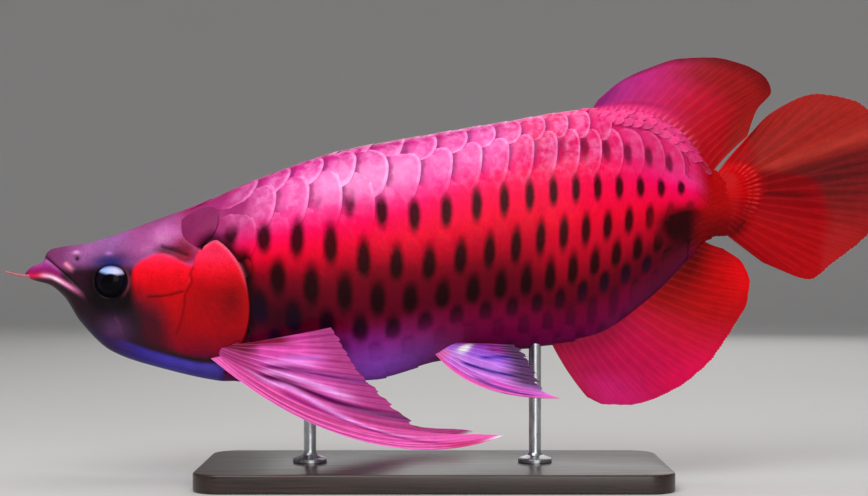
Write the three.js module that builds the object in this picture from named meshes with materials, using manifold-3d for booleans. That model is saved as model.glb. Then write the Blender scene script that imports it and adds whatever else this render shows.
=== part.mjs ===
// A still, life-size Asian arowana, swimming a little nose-down, held by a plain display stand.
// Millimetres. +X runs from the snout to the tail, +Y to the fish's right side, and +Z is up.
// The origin is the middle of the underside of the stand's base.
//
// The fish is drawn in its own frame first: x is the distance behind the tip of the lower jaw,
// and z is the height above that tip. The whole fish is then set in place over the stand.
// The body is one lofted solid, parted by thin cuts into head, jaw, gill covers, trunk and tail stalk.
// Each fin is a thin sheet with raised rays, cut to the body where it grows out of it.

import * as THREE from "three";
import { mergeVertices } from "three/addons/utils/BufferGeometryUtils.js";
import Module from "manifold-3d";

const wasm = await Module();
wasm.setup();

// Driving sizes.
const GAP = 0.3; // clearance between pieces that touch
const JAW_TIP_X = -265.9; // tip of the lower jaw, from the middle of the stand
const JAW_TIP_HEIGHT = 134.1; // tip of the lower jaw, above the floor
const BODY_LENGTH = 476.5; // tip of the lower jaw to the end of the flesh in the tail
const RING_POINTS = 24; // corners of one cross-section
const TAIL_SWEEP = 20; // how far the tail's tip swings to the right
const SWEEP_START = 300; // where the swing starts
const FISH_LENGTH = 566; // tip of the lower jaw to the end of the tail fin

// The outline from the side, and the half width from above, as [x, value].
const BACK = [
  [0, 0], [3.3, 3.9], [11.7, 8.1], [13.4, 9.8], [15, 14.3], [18.9, 16.6], [42.3, 20.4], [55.3, 24.2], [81.3, 33.6],
  [113.8, 45.8], [152.8, 62.2], [204.8, 80], [256.8, 89.7], [308.8, 98.5], [368.6, 106.9], [399.8, 104.7], [422.5, 94.9],
  [436.9, 80.6], [447, 68.2], [461.5, 67.6], [471.3, 64], [BODY_LENGTH, 52],
];
const BELLY = [
  [0, 0], [4.6, -3.6], [16.3, -7.1], [26, -14.9], [37.1, -31.8], [56.6, -50], [81.3, -59.1], [133.3, -70.2],
  [178.8, -72.8], [227.5, -69.5], [269.8, -57.2], [342.6, -46.8], [371.2, -41], [407.6, -16.9], [434.9, 11.1],
  [442, 20.3], [450.5, 23.4], [461.5, 25.3], [471.3, 34], [BODY_LENGTH, 50],
];
const HALF_WIDTH = [
  [0, 0.6], [4, 4.8], [14, 8.6], [26, 12.4], [44, 16.4], [60, 19.6], [82, 23.8], [114, 28.8], [146, 31.4],
  [205, 32.8], [266, 31.8], [309, 29.6], [348, 26], [387, 19.5], [426, 12], [448, 8.6], [466, 5.2], [BODY_LENGTH, 1.2],
];
// Where the body is widest, as a share of its height.
const WIDEST_AT = [[0, 0.5], [60, 0.52], [140, 0.54], [309, 0.6], [387, 0.58], [BODY_LENGTH, 0.5]];
// Roundness of the section: 1 is round, under 1 is boxy, and over 1 draws in to a keel.
const BACK_ROUNDNESS = [[0, 1], [16, 0.9], [50, 0.66], [120, 0.72], [205, 0.84], [BODY_LENGTH, 0.95]];
const KEEL_SHARPNESS = [[0, 1], [60, 1.02], [150, 1.2], [300, 1.45], [BODY_LENGTH, 1]];

// Cuts and outlines on the side view, as [x, z].
const GAPE = [[13.2, 10.5], [16.2, 9.8], [23.8, 3.8], [29.5, -0.6], [38, -8], [49.8, -19.6], [58.2, -29.3], [62.7, -38.2]];
const JAW_REGION = [[-12, 16], ...GAPE, [56.9, -49.8], [53, -64], [-12, -64]];
const GILL_COVER = [
  [111.3, 10.6], [120.8, 17.5], [126.5, 22], [131.6, 20.1], [139.8, 11.8], [146.2, -0.2], [149.3, -16],
  [148.7, -30], [144.3, -43.3], [135.4, -52.1], [117.7, -52.8], [106.8, -38.2], [108.7, -16.1], [111.3, -3.4],
];
const GILL_DEPTH = 16; // how far from the middle plane a gill cover starts
const GILL_PROUD = 0.8; // how far it stands over the skin
const NECK = [[112, 120], [112, 60], [123, 21], [133, 8], [133, -120]];
const TAIL_CUT = [[354, 140], [346, -120]];
const FAR = 160; // beyond every piece

const EYE = { x: 59.4, y: 13.3, z: -4.2, radius: 10.8, depth: 7.4 };
const BARBEL = {
  left: [[6, 4, -1.3], [-0.2, 6, -1], [-7.3, 6.6, 0.5], [-12.5, 7, 2.5]],
  right: [[5, 3.6, -1.3], [-3.1, 6, -1.2], [-8.2, 6.4, -0.3], [-12.9, 6.9, 1.1]],
  root: 1.1, tip: 0.6,
};

// Fins. A ray of a middle fin is [root x, root z, tip x, tip z]. A ray of a paired fin is its root, the
// point that it bends towards and its tip, each [x, distance from the middle plane, z]. The rays listed
// shape the fin's outline, and the fin's own rays are spread evenly between them.
const DORSAL = {
  rays: [
    [368.6, 106.6, 373.1, 113.8], [376.4, 106.3, 388.1, 126.1], [385.5, 106, 406.3, 134.5],
    [395.9, 104.7, 427.1, 140.7], [406.3, 102.1, 446.6, 141.4], [416.7, 97.5, 466.1, 137.8],
    [426.4, 91, 483.5, 128.6], [434.9, 82.6, 487.4, 119.6], [441.4, 74.8, 477.6, 107.2], [446.6, 67, 467, 88],
  ],
  count: 13, steps: 3, bow: 0.05, root: 2.6, edge: 0.9, wave: 1.6, waves: 1.5,
};
const ANAL = {
  rays: [
    [343.2, -46.8, 366, -80.6], [351.7, -45.5, 378.3, -85.5], [362.8, -43.9, 394.6, -85.8],
    [373.8, -40.9, 412.8, -80.6], [384.8, -33.8, 431, -70.6], [395.9, -25.3, 447.8, -55.4],
    [407.6, -16.6, 461.2, -36], [418.6, -6.5, 471.5, -18.6], [428.4, 3.9, 473.4, -5.2],
    [436.2, 13.7, 468, 7.6], [442, 21.5, 455, 16.6],
  ],
  count: 16, steps: 3, bow: -0.06, root: 2.6, edge: 0.9, wave: 2, waves: 1.5,
};
const CAUDAL = {
  rays: [
    [452.4, 68.2, 474, 92.5], [456.4, 66.8, 488.5, 106.5], [460.9, 64.3, 518.1, 118.6],
    [463.5, 61.1, 547, 112.4], [464.8, 57.2, 563.4, 89], [465.4, 52.7, FISH_LENGTH, 61.1],
    [464.8, 48.1, 561.6, 37.7], [463.5, 42.9, 546.7, 20.8], [461.5, 37.7, 529.8, 7.8],
    [458.9, 32.5, 512.9, -3.9], [456.4, 27.3, 484.3, 5.2], [453.1, 23.4, 463.5, 17.6],
  ],
  count: 16, steps: 4, bow: 0, root: 2.8, edge: 0.9, wave: 3, waves: 2.5,
};
const PECTORAL = {
  rays: [
    [[135.3, 22, -61], [233, 62, -127], [307.3, 84, -96]],
    [[136.7, 23, -59.5], [214.2, 58, -116.7], [300.8, 82, -95.3]],
    [[138.1, 24, -56.9], [195.3, 52, -95.8], [267, 73, -95.6]],
    [[139.5, 25, -54.2], [188.7, 46, -77.8], [244, 66, -82]],
    [[140.9, 26, -51.6], [182.2, 43, -66.8], [231, 60, -70]],
    [[142.9, 27, -48.4], [175.8, 41, -56.3], [220, 55, -59.5]],
    [[144.9, 28, -45.2], [172.5, 39, -45.8], [211, 50, -46]],
    [[147.6, 29, -43.2], [169.3, 38, -39.6], [202.9, 45, -32.3]],
  ],
  count: 8, steps: 8, root: 3.4, edge: 1, lead: 1.2,
};
const PELVIC = {
  rays: [
    [[270.4, 8, -54.7], [293.9, 22, -79.9], [345, 38, -77.5]],
    [[272.3, 9, -52.1], [295.2, 22, -70.4], [335.8, 35, -73.7]],
    [[274.9, 10, -50.1], [296.5, 22, -60.8], [331.5, 32, -66.4]],
    [[278.1, 11, -48.1], [298.4, 21, -53.2], [327.9, 29, -57.8]],
    [[282, 12, -46.1], [299.7, 20, -48.2], [323.7, 26, -50.4]],
    [[286.5, 13, -44.8], [300.4, 19, -43.8], [317.4, 23, -44.8]],
  ],
  count: 6, steps: 5, root: 2.4, edge: 0.9, lead: 1,
};
const FIN_EMBED = 0.14; // share of a ray that is sunk in the body before the fin is cut to it
const MEMBRANE = 0.55; // thickness of the skin between rays, as a share of a ray's
const RAY_OVERHANG = 0.025; // how far a ray's tip stands past the skin between rays
// How each paired fin is held: turned about its root, in radians, and drawn in as shares of its length and spread.
const LEFT_POSE = { fold: 0, length: 1, spread: 1 };
const RIGHT_POSE = {
  pectoral: { fold: -0.1, length: 0.94, spread: 0.8 },
  pelvic: { fold: -0.06, length: 0.98, spread: 1 },
};

// The stand.
const BASE = { length: 300, width: 130, height: 12, corner: 18, bevel: 1.5 };
const ROD = { radius: 4, foot: 11, footHeight: 3, sides: 16, seat: 7 };
const ROD_X = { front: -80.6, rear: 65.6 };

const clamp01 = (t) => Math.min(1, Math.max(0, t));
const lerp = (a, b, t) => a + (b - a) * t;

// A smooth curve through [[x, value], ...] that never overshoots its points.
function curve(points) {
  const last = points.length - 1;
  const slopes = points.slice(1).map(([x, v], i) => (v - points[i][1]) / (x - points[i][0]));
  const tangents = points.map((_, i) => {
    if (i === 0) return slopes[0];
    if (i === last) return slopes[last - 1];
    const [before, after] = [slopes[i - 1], slopes[i]];
    return before * after <= 0 ? 0 : (2 * before * after) / (before + after);
  });
  return (x) => {
    let i = 0;
    while (i < last - 1 && x > points[i + 1][0]) i += 1;
    const [[x0, v0], [x1, v1]] = [points[i], points[i + 1]];
    const t = clamp01((x - x0) / (x1 - x0));
    const bend = (x1 - x0) * t * (1 - t);
    return lerp(v0, v1, t * t * (3 - 2 * t)) + bend * ((1 - t) * tangents[i] - t * tangents[i + 1]);
  };
}

const backAt = curve(BACK);
const bellyAt = curve(BELLY);
const halfWidthAt = curve(HALF_WIDTH);
const widestAt = curve(WIDEST_AT);
const backRoundnessAt = curve(BACK_ROUNDNESS);
const keelSharpnessAt = curve(KEEL_SHARPNESS);
const sweepAt = (x) => TAIL_SWEEP * Math.max(0, (x - SWEEP_START) / (FISH_LENGTH - SWEEP_START)) ** 2;

// One closed body from matching rings of points, with a fan over each end ring.
function tubeGeometry(rings) {
  const size = rings[0].length;
  const middle = (ring) => ring.reduce((sum, p) => sum.add(p), new THREE.Vector3()).divideScalar(size);
  const points = [...rings.flat(), middle(rings[0]), middle(rings.at(-1))];
  const [startPole, endPole] = [points.length - 2, points.length - 1];
  const endRing = (rings.length - 1) * size;
  const index = [];
  for (let i = 0; i < size; i += 1) {
    const next = (i + 1) % size;
    index.push(startPole, next, i, endPole, endRing + i, endRing + next);
    for (let ring = 0; ring < endRing; ring += size) {
      index.push(ring + i, ring + next, ring + size + i);
      index.push(ring + next, ring + size + next, ring + size + i);
    }
  }
  return new THREE.BufferGeometry().setFromPoints(points).setIndex(index);
}

// A closed plate between two grids of points, front[column][row] and back[column][row]. Its rim is the
// loop of grid points round the edge.
function plateGeometry(front, back) {
  const [columns, rows] = [front.length, front[0].length];
  const points = [...front.flat(), ...back.flat()];
  const offset = columns * rows;
  const at = (c, r) => c * rows + r;
  const index = [];
  for (let c = 0; c < columns - 1; c += 1) {
    for (let r = 0; r < rows - 1; r += 1) {
      const [a, b, d, e] = [at(c, r), at(c + 1, r), at(c + 1, r + 1), at(c, r + 1)];
      index.push(a, b, d, a, d, e);
      index.push(offset + a, offset + d, offset + b, offset + a, offset + e, offset + d);
    }
  }
  const rim = [];
  for (let c = 0; c < columns; c += 1) rim.push(at(c, 0));
  for (let r = 1; r < rows; r += 1) rim.push(at(columns - 1, r));
  for (let c = columns - 2; c >= 0; c -= 1) rim.push(at(c, rows - 1));
  for (let r = rows - 2; r > 0; r -= 1) rim.push(at(0, r));
  rim.forEach((a, i) => {
    const b = rim[(i + 1) % rim.length];
    index.push(a, offset + a, offset + b, a, offset + b, b);
  });
  return new THREE.BufferGeometry().setFromPoints(points).setIndex(index);
}

// A solid from a closed geometry, turned right side out if its faces point inwards.
function solidOf(geometry) {
  const bare = new THREE.BufferGeometry().setAttribute("position", geometry.getAttribute("position"));
  const merged = mergeVertices(bare.setIndex(geometry.index), 1e-3);
  const vertProperties = merged.attributes.position.array;
  const make = (triVerts) => new wasm.Manifold(new wasm.Mesh({ numProp: 3, vertProperties, triVerts }));
  const triVerts = new Uint32Array(merged.index.array);
  const solid = make(triVerts);
  return solid.volume() > 0 ? solid : make(triVerts.reverse());
}

function meshOf(solid, name, material) {
  const { vertProperties, triVerts } = solid.getMesh();
  const geometry = new THREE.BufferGeometry();
  geometry.setAttribute("position", new THREE.BufferAttribute(vertProperties, 3));
  geometry.setIndex(new THREE.BufferAttribute(triVerts, 1));
  const mesh = new THREE.Mesh(geometry, material);
  mesh.name = name;
  return mesh;
}

// The largest body of a cut solid, so that no sliver stays on it.
function largest(solid) {
  return solid.decompose().sort((a, b) => b.volume() - a.volume())[0];
}

// A prism with an outline [[x, z], ...] from the side, between two distances from the middle plane.
function prism(outline, yLow, yHigh) {
  const shape = new THREE.Shape(outline.map(([x, z]) => new THREE.Vector2(x, z)));
  const geometry = new THREE.ExtrudeGeometry(shape, { depth: yHigh - yLow, bevelEnabled: false });
  geometry.rotateX(Math.PI / 2);
  geometry.translate(0, yHigh, 0);
  return solidOf(geometry);
}

// A closed outline moved out by a distance, for the wider side of a thin cut.
function grown(outline, distance) {
  const turn = THREE.ShapeUtils.area(outline.map(([x, z]) => new THREE.Vector2(x, z))) > 0 ? 1 : -1;
  return outline.map(([x, z], i) => {
    const [px, pz] = outline.at(i - 1);
    const [nx, nz] = outline[(i + 1) % outline.length];
    const length = Math.hypot(nx - px, nz - pz);
    return [x + (turn * distance * (nz - pz)) / length, z - (turn * distance * (nx - px)) / length];
  });
}

function smoothOutline(outline, points) {
  const path = new THREE.CatmullRomCurve3(
    outline.map(([x, z]) => new THREE.Vector3(x, 0, z)),
    true,
    "centripetal",
  );
  return path.getSpacedPoints(points).slice(0, -1).map((p) => [p.x, p.z]);
}

// The cross-section of the body at x, moved out by extra all round.
function bodyRing(x, extra) {
  const [top, bottom] = [backAt(x), bellyAt(x)];
  const widest = lerp(bottom, top, widestAt(x));
  const halfWidth = halfWidthAt(x) + extra;
  const ring = [];
  for (let i = 0; i < RING_POINTS; i += 1) {
    const angle = (2 * Math.PI * i) / RING_POINTS;
    const [s, c] = [Math.sin(angle), Math.cos(angle)];
    const above = c > 0;
    const widthPower = above ? backRoundnessAt(x) : keelSharpnessAt(x);
    const height = above ? top - widest + extra : widest - bottom + extra;
    const y = sweepAt(x) + halfWidth * Math.sign(s) * Math.abs(s) ** widthPower;
    ring.push(new THREE.Vector3(x, y, widest + height * Math.sign(c) * Math.abs(c) ** 0.92));
  }
  return ring;
}

// Sections lie close together at the snout and at the end of the tail, where the outline turns fast.
function bodySolid(extra) {
  const stretches = [[0.4, 19, 7], [19, 82, 7], [82, 370, 13], [370, 461, 9], [461, BODY_LENGTH, 4]];
  const rings = [];
  for (const [start, end, count] of stretches) {
    for (let i = 0; i < count; i += 1) rings.push(bodyRing(lerp(start, end, i / count), extra));
  }
  rings.push(bodyRing(BODY_LENGTH, extra));
  if (extra > 0) {
    rings.unshift(bodyRing(0, extra).map((p) => p.setX(p.x - extra)));
    rings.push(bodyRing(BODY_LENGTH, extra).map((p) => p.setX(p.x + extra)));
  }
  return solidOf(tubeGeometry(rings));
}

function ellipsoid(centre, radii) {
  const geometry = new THREE.SphereGeometry(1, 16, 10);
  geometry.scale(...radii);
  geometry.translate(...centre);
  return solidOf(geometry);
}

function eyeSolid(side, extra) {
  const radii = [EYE.radius + extra, EYE.depth + extra, EYE.radius + extra];
  return ellipsoid([EYE.x, side * EYE.y, EYE.z], radii);
}

// A ray of a middle fin as root, bend and tip, bowed forwards by a share of its length.
function middleRay([rootX, rootZ, tipX, tipZ], bow) {
  const bendX = (rootX + tipX) / 2 - bow * (tipZ - rootZ);
  const bendZ = (rootZ + tipZ) / 2 + bow * (tipX - rootX);
  return [[rootX, 0, rootZ], [bendX, 0, bendZ], [tipX, 0, tipZ]];
}

// The fin as a surface: across goes from the first ray to the last, and along from root to tip.
function finSurface(rays, offset) {
  const spread = [0, 1, 2].map((stop) =>
    [0, 1, 2].map((axis) => curve(rays.map((ray, i) => [i / (rays.length - 1), ray[stop][axis]]))),
  );
  return (across, along) => {
    const [root, bend, tip] = spread.map((axes) => new THREE.Vector3(...axes.map((f) => f(across))));
    const start = Math.max(0, along);
    const point = root.clone().multiplyScalar((1 - start) ** 2);
    point.addScaledVector(bend, 2 * start * (1 - start)).addScaledVector(tip, start * start);
    if (along < 0) point.addScaledVector(bend.sub(root), 2 * along);
    point.y += offset(across, along, point);
    return point;
  };
}

// The fin as a plate: thick along each ray and thin between rays, with the rays' tips standing proud.
function finSolid(surface, { count, steps, root, edge, lead = 0 }) {
  const columns = 2 * count - 1;
  const [front, back] = [[], []];
  for (let c = 0; c < columns; c += 1) {
    const across = c / (columns - 1);
    const isRay = c % 2 === 0;
    const end = isRay ? 1 : 1 - RAY_OVERHANG;
    const [frontColumn, backColumn] = [[], []];
    for (let r = 0; r <= steps; r += 1) {
      const along = lerp(-FIN_EMBED, end, r / steps);
      const point = surface(across, along);
      const acrossStep = surface(Math.min(1, across + 0.01), along).sub(surface(Math.max(0, across - 0.01), along));
      const alongStep = surface(across, along + 0.01).sub(surface(across, along - 0.01));
      const normal = acrossStep.cross(alongStep).normalize();
      const extraLead = lead * clamp01(1 - 4 * across);
      const thickness = lerp(root + extraLead, edge + extraLead / 2, clamp01(along)) * (isRay ? 1 : MEMBRANE);
      frontColumn.push(point.clone().addScaledVector(normal, thickness / 2));
      backColumn.push(point.clone().addScaledVector(normal, -thickness / 2));
    }
    front.push(frontColumn);
    back.push(backColumn);
  }
  return solidOf(plateGeometry(front, back));
}

// Fins in the middle plane follow the sweep of the tail, with a soft wave towards the edge.
function middleFin(fin) {
  const rays = fin.rays.map((ray) => middleRay(ray, fin.bow));
  const offset = (across, along, point) =>
    sweepAt(point.x) + fin.wave * clamp01(along) * Math.sin(2 * Math.PI * fin.waves * across);
  return finSolid(finSurface(rays, offset), fin);
}

// A paired fin on one side, posed about the root of its first ray.
function pairedFin(fin, side, pose) {
  const [rootX, , rootZ] = fin.rays[0][0];
  const [cos, sin] = [Math.cos(pose.fold) * pose.length, Math.sin(pose.fold) * pose.length];
  const posed = (ray) =>
    ray.map(([x, y, z]) => [
      rootX + (x - rootX) * cos - (z - rootZ) * sin,
      side * lerp(ray[0][1], y, pose.spread),
      rootZ + (x - rootX) * sin + (z - rootZ) * cos,
    ]);
  return finSolid(finSurface(fin.rays.map(posed), () => 0), fin);
}

// A whisker on the chin: a tapering tube along a curve, with a small ball end.
function barbelSolid(side) {
  const points = side < 0 ? BARBEL.left : BARBEL.right;
  const path = new THREE.CatmullRomCurve3(points.map(([x, y, z]) => new THREE.Vector3(x, side * y, z)));
  const [steps, sides] = [8, 6];
  const frames = path.computeFrenetFrames(steps);
  const rings = [];
  for (let i = 0; i <= steps; i += 1) {
    const centre = path.getPointAt(i / steps);
    const radius = lerp(BARBEL.root, BARBEL.tip, i / steps);
    const ring = [];
    for (let k = 0; k < sides; k += 1) {
      const angle = (2 * Math.PI * k) / sides;
      const point = centre.clone().addScaledVector(frames.normals[i], radius * Math.cos(angle));
      ring.push(point.addScaledVector(frames.binormals[i], radius * Math.sin(angle)));
    }
    rings.push(ring);
  }
  return solidOf(tubeGeometry(rings));
}

function standBase() {
  const { length, width, height, corner, bevel } = BASE;
  const [x, y] = [length / 2 - bevel, width / 2 - bevel];
  const shape = new THREE.Shape();
  shape.moveTo(-x + corner, -y);
  shape.lineTo(x - corner, -y);
  shape.absarc(x - corner, -y + corner, corner, -Math.PI / 2, 0, false);
  shape.absarc(x - corner, y - corner, corner, 0, Math.PI / 2, false);
  shape.absarc(-x + corner, y - corner, corner, Math.PI / 2, Math.PI, false);
  shape.absarc(-x + corner, -y + corner, corner, Math.PI, 1.5 * Math.PI, false);
  const bevels = { bevelThickness: bevel, bevelSize: bevel, bevelSegments: 1 };
  const geometry = new THREE.ExtrudeGeometry(shape, { depth: height - 2 * bevel, curveSegments: 4, ...bevels });
  geometry.translate(0, 0, bevel);
  return solidOf(geometry);
}

// A rod with a flared foot on the base, tall enough to reach into the belly before it is cut to it.
function standRod(x) {
  const bottom = BASE.height + GAP;
  const top = JAW_TIP_HEIGHT + bellyAt(x - JAW_TIP_X) + ROD.seat;
  const profile = [
    [0, bottom], [ROD.foot, bottom], [ROD.foot, bottom + ROD.footHeight * 0.6],
    [ROD.foot * 0.8, bottom + ROD.footHeight], [ROD.radius * 1.25, bottom + ROD.footHeight * 1.5],
    [ROD.radius, bottom + ROD.footHeight * 2.6], [ROD.radius, top], [0, top],
  ];
  const geometry = new THREE.LatheGeometry(profile.map(([r, z]) => new THREE.Vector2(r, z)), ROD.sides);
  geometry.rotateX(Math.PI / 2);
  geometry.translate(x, 0, 0);
  return solidOf(geometry);
}

const finish = (color, roughness, metalness = 0) => new THREE.MeshStandardMaterial({ color, roughness, metalness });
const SKIN = finish("#b0306a", 0.4);
const GILL = finish("#d81420", 0.35);
const JAW = finish("#5a2340", 0.45);
const MIDDLE_FIN = finish("#c01828", 0.45);
const PAIRED_FIN = finish("#e05aa0", 0.45);
const EYE_BLACK = finish("#0c0c12", 0.08);
const WHISKER = finish("#b06a6a", 0.5);
const WOOD = finish("#1c1512", 0.4);
const STEEL = finish("#b8bcc0", 0.3, 1);

const model = new THREE.Group();
const fish = new THREE.Group();
fish.position.set(JAW_TIP_X, 0, JAW_TIP_HEIGHT);
model.add(fish);

// The body, less the eye sockets, parted into its pieces.
const cutSpace = bodySolid(GAP);
let body = bodySolid(0);
for (const side of [-1, 1]) {
  body = body.subtract(eyeSolid(side, GAP));
  fish.add(meshOf(eyeSolid(side, 0), side < 0 ? "eye_left" : "eye_right", EYE_BLACK));
}
fish.add(meshOf(body.intersect(prism(JAW_REGION, -FAR, FAR)), "lower_jaw", JAW));
body = body.subtract(prism(grown(JAW_REGION, GAP), -FAR, FAR));

const gillOutline = smoothOutline(GILL_COVER, 36);
const proudBody = bodySolid(GILL_PROUD);
for (const side of [-1, 1]) {
  const span = (depth) => (side < 0 ? [-FAR, -depth] : [depth, FAR]);
  const cover = proudBody.intersect(prism(gillOutline, ...span(GILL_DEPTH)));
  fish.add(meshOf(largest(cover), side < 0 ? "gill_cover_left" : "gill_cover_right", GILL));
  body = body.subtract(prism(grown(gillOutline, GAP), ...span(GILL_DEPTH - GAP)));
}

// Regions before and behind a cut line that runs from the back down to the belly.
const regionBefore = (line, inset) => [[-FAR, line[0][1]], ...line.map(([x, z]) => [x - inset, z]), [-FAR, -FAR]];
const regionBehind = (line) => [...line, [4 * FAR, -FAR], [4 * FAR, FAR]];
const trunkAndTail = body.intersect(prism(regionBehind(NECK), -FAR, FAR));
const trunk = trunkAndTail.intersect(prism(regionBefore(TAIL_CUT, GAP), -FAR, FAR));
fish.add(meshOf(largest(body.intersect(prism(regionBefore(NECK, GAP), -FAR, FAR))), "head", SKIN));
fish.add(meshOf(largest(trunk), "trunk", SKIN));
fish.add(meshOf(largest(trunkAndTail.intersect(prism(regionBehind(TAIL_CUT), -FAR, FAR))), "tail_stalk", SKIN));

// The fins and whiskers, cut to the body with a thin gap. The pectoral fins clear the gill covers too.
const outside = (solid, space = cutSpace) => largest(solid.subtract(space));
const gillSpace = bodySolid(GILL_PROUD + GAP);
fish.add(meshOf(outside(middleFin(CAUDAL)), "tail_fin", MIDDLE_FIN));
fish.add(meshOf(outside(middleFin(DORSAL)), "dorsal_fin", MIDDLE_FIN));
fish.add(meshOf(outside(middleFin(ANAL)), "anal_fin", MIDDLE_FIN));
for (const side of [-1, 1]) {
  const word = side < 0 ? "left" : "right";
  const pose = (name) => (side < 0 ? LEFT_POSE : RIGHT_POSE[name]);
  const pectoral = pairedFin(PECTORAL, side, pose("pectoral"));
  fish.add(meshOf(outside(pectoral, gillSpace), "pectoral_fin_" + word, PAIRED_FIN));
  fish.add(meshOf(outside(pairedFin(PELVIC, side, pose("pelvic"))), "pelvic_fin_" + word, PAIRED_FIN));
  fish.add(meshOf(outside(barbelSolid(side)), "barbel_" + word, WHISKER));
}

// The stand, with each rod's top cut to the keel of the belly that rests on it.
model.add(meshOf(standBase(), "stand_base", WOOD));
const placedCut = cutSpace.translate([JAW_TIP_X, 0, JAW_TIP_HEIGHT]);
for (const [end, x] of Object.entries(ROD_X)) {
  model.add(meshOf(largest(standRod(x).subtract(placedCut)), "stand_rod_" + end, STEEL));
}

export default model;
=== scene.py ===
"""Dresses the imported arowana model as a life-size painted display piece, swimming nose-down over its stand.

The fish is shaped in its own frame, in millimetres: x runs from the tip of the lower jaw to the tail,
y to the fish's right and z up from that tip. A place on the body is given by x and by its share of the
way round from the back (0) to the keel (1), negative on the fish's left side. `place` brings it all
into the model's frame, in metres.
"""

import math

import bmesh
import bpy
import numpy as np
from bpy.props import FloatProperty, FloatVectorProperty, IntProperty, PointerProperty
from mathutils import Matrix, Vector


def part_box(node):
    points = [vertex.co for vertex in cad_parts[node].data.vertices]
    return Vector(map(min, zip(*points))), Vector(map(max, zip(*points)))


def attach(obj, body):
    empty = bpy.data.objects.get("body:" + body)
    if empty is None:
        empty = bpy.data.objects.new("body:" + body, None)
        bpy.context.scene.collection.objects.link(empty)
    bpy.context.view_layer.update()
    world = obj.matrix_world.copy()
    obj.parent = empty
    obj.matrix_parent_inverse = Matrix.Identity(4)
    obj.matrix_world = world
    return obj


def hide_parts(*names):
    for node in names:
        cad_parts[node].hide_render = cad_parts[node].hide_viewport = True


bl_info = {
    "name": "Arowana Display Model",
    "version": (1, 0, 0),
    "blender": (4, 5, 0),
    "location": "View3D > Sidebar > Arowana",
    "description": "Builds the skin, scales, fins, eyes, whiskers and stand round the packed model",
    "category": "Object",
}

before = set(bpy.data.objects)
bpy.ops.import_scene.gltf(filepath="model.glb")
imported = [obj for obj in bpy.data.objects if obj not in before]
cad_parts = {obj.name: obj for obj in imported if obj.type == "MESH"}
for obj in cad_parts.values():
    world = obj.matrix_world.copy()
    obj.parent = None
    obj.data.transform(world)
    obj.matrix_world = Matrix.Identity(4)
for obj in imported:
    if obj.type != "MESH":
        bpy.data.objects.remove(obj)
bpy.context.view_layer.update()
BODY = "root"
SIDES = {"left": -1, "right": 1}
JAW_TIP = (-265.9, 0.0, 134.1)
BODY_LENGTH = 476.5
FISH_LENGTH = 566


# Curves and outlines of the body


class Curve:
    """A smooth curve through points (x, value) that never overshoots them."""

    def __init__(self, *points):
        self.x, self.v = (np.array(column, float) for column in zip(*points))
        slope = np.diff(self.v) / np.diff(self.x)
        product = slope[:-1] * slope[1:]
        total = np.where(product > 0, slope[:-1] + slope[1:], 1)
        inner = np.where(product > 0, 2 * product / total, 0)
        self.tangent = np.concatenate(([slope[0]], inner, [slope[-1]]))

    def __call__(self, x):
        x = np.clip(x, self.x[0], self.x[-1])
        i = np.clip(np.searchsorted(self.x, x, side="right") - 1, 0, len(self.x) - 2)
        width = self.x[i + 1] - self.x[i]
        t = (x - self.x[i]) / width
        bend = (1 - t) * self.tangent[i] - t * self.tangent[i + 1]
        return self.v[i] + (self.v[i + 1] - self.v[i]) * t * t * (3 - 2 * t) + width * t * (1 - t) * bend


BACK = Curve(
    (0, 0), (3.3, 3.9), (11.7, 8.1), (13.4, 9.8), (15, 14.3), (18.9, 16.6), (42.3, 20.4), (55.3, 24.2),
    (81.3, 33.6), (113.8, 45.8), (152.8, 62.2), (204.8, 80), (256.8, 89.7), (308.8, 98.5), (368.6, 106.9),
    (399.8, 104.7), (422.5, 94.9), (436.9, 80.6), (447, 68.2), (461.5, 67.6), (471.3, 64), (BODY_LENGTH, 52),
)
BELLY = Curve(
    (0, 0), (4.6, -3.6), (16.3, -7.1), (26, -14.9), (37.1, -31.8), (56.6, -50), (81.3, -59.1),
    (133.3, -70.2), (178.8, -72.8), (227.5, -69.5), (269.8, -57.2), (342.6, -46.8), (371.2, -41),
    (407.6, -16.9), (434.9, 11.1), (442, 20.3), (450.5, 23.4), (461.5, 25.3), (471.3, 34), (BODY_LENGTH, 50),
)
HALF_WIDTH = Curve(
    (0, 0.6), (4, 4.8), (14, 8.6), (26, 12.4), (44, 16.4), (60, 19.6), (82, 23.8), (114, 28.8),
    (146, 31.4), (205, 32.8), (266, 31.8), (309, 29.6), (348, 26), (387, 19.5), (426, 12), (448, 8.6),
    (466, 5.2), (BODY_LENGTH, 1.2),
)
WIDEST_AT = Curve((0, 0.5), (60, 0.52), (140, 0.54), (309, 0.6), (387, 0.58), (BODY_LENGTH, 0.5))
BACK_ROUNDNESS = Curve((0, 1), (16, 0.9), (50, 0.66), (120, 0.72), (205, 0.84), (BODY_LENGTH, 0.95))
KEEL_SHARPNESS = Curve((0, 1), (60, 1.02), (150, 1.2), (300, 1.45), (BODY_LENGTH, 1))


def sweep(x):
    """How far the tail has swung to the right at x."""
    return 20 * np.maximum(0, (x - 300) / (FISH_LENGTH - 300)) ** 2


def section(x, angle):
    """The body's surface at x and an angle round it, 0 at the back, pi at the keel, negative on the left."""
    x, angle = np.broadcast_arrays(np.asarray(x, float), np.asarray(angle, float))
    top, bottom = BACK(x), BELLY(x)
    widest = bottom + (top - bottom) * WIDEST_AT(x)
    s, c = np.sin(angle), np.cos(angle)
    power = np.where(c > 0, BACK_ROUNDNESS(x), KEEL_SHARPNESS(x))
    height = np.where(c > 0, top - widest, widest - bottom)
    y = sweep(x) + HALF_WIDTH(x) * np.sign(s) * np.abs(s) ** power
    return np.stack([x, y, widest + height * np.sign(c) * np.abs(c) ** 0.92], -1)


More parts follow.
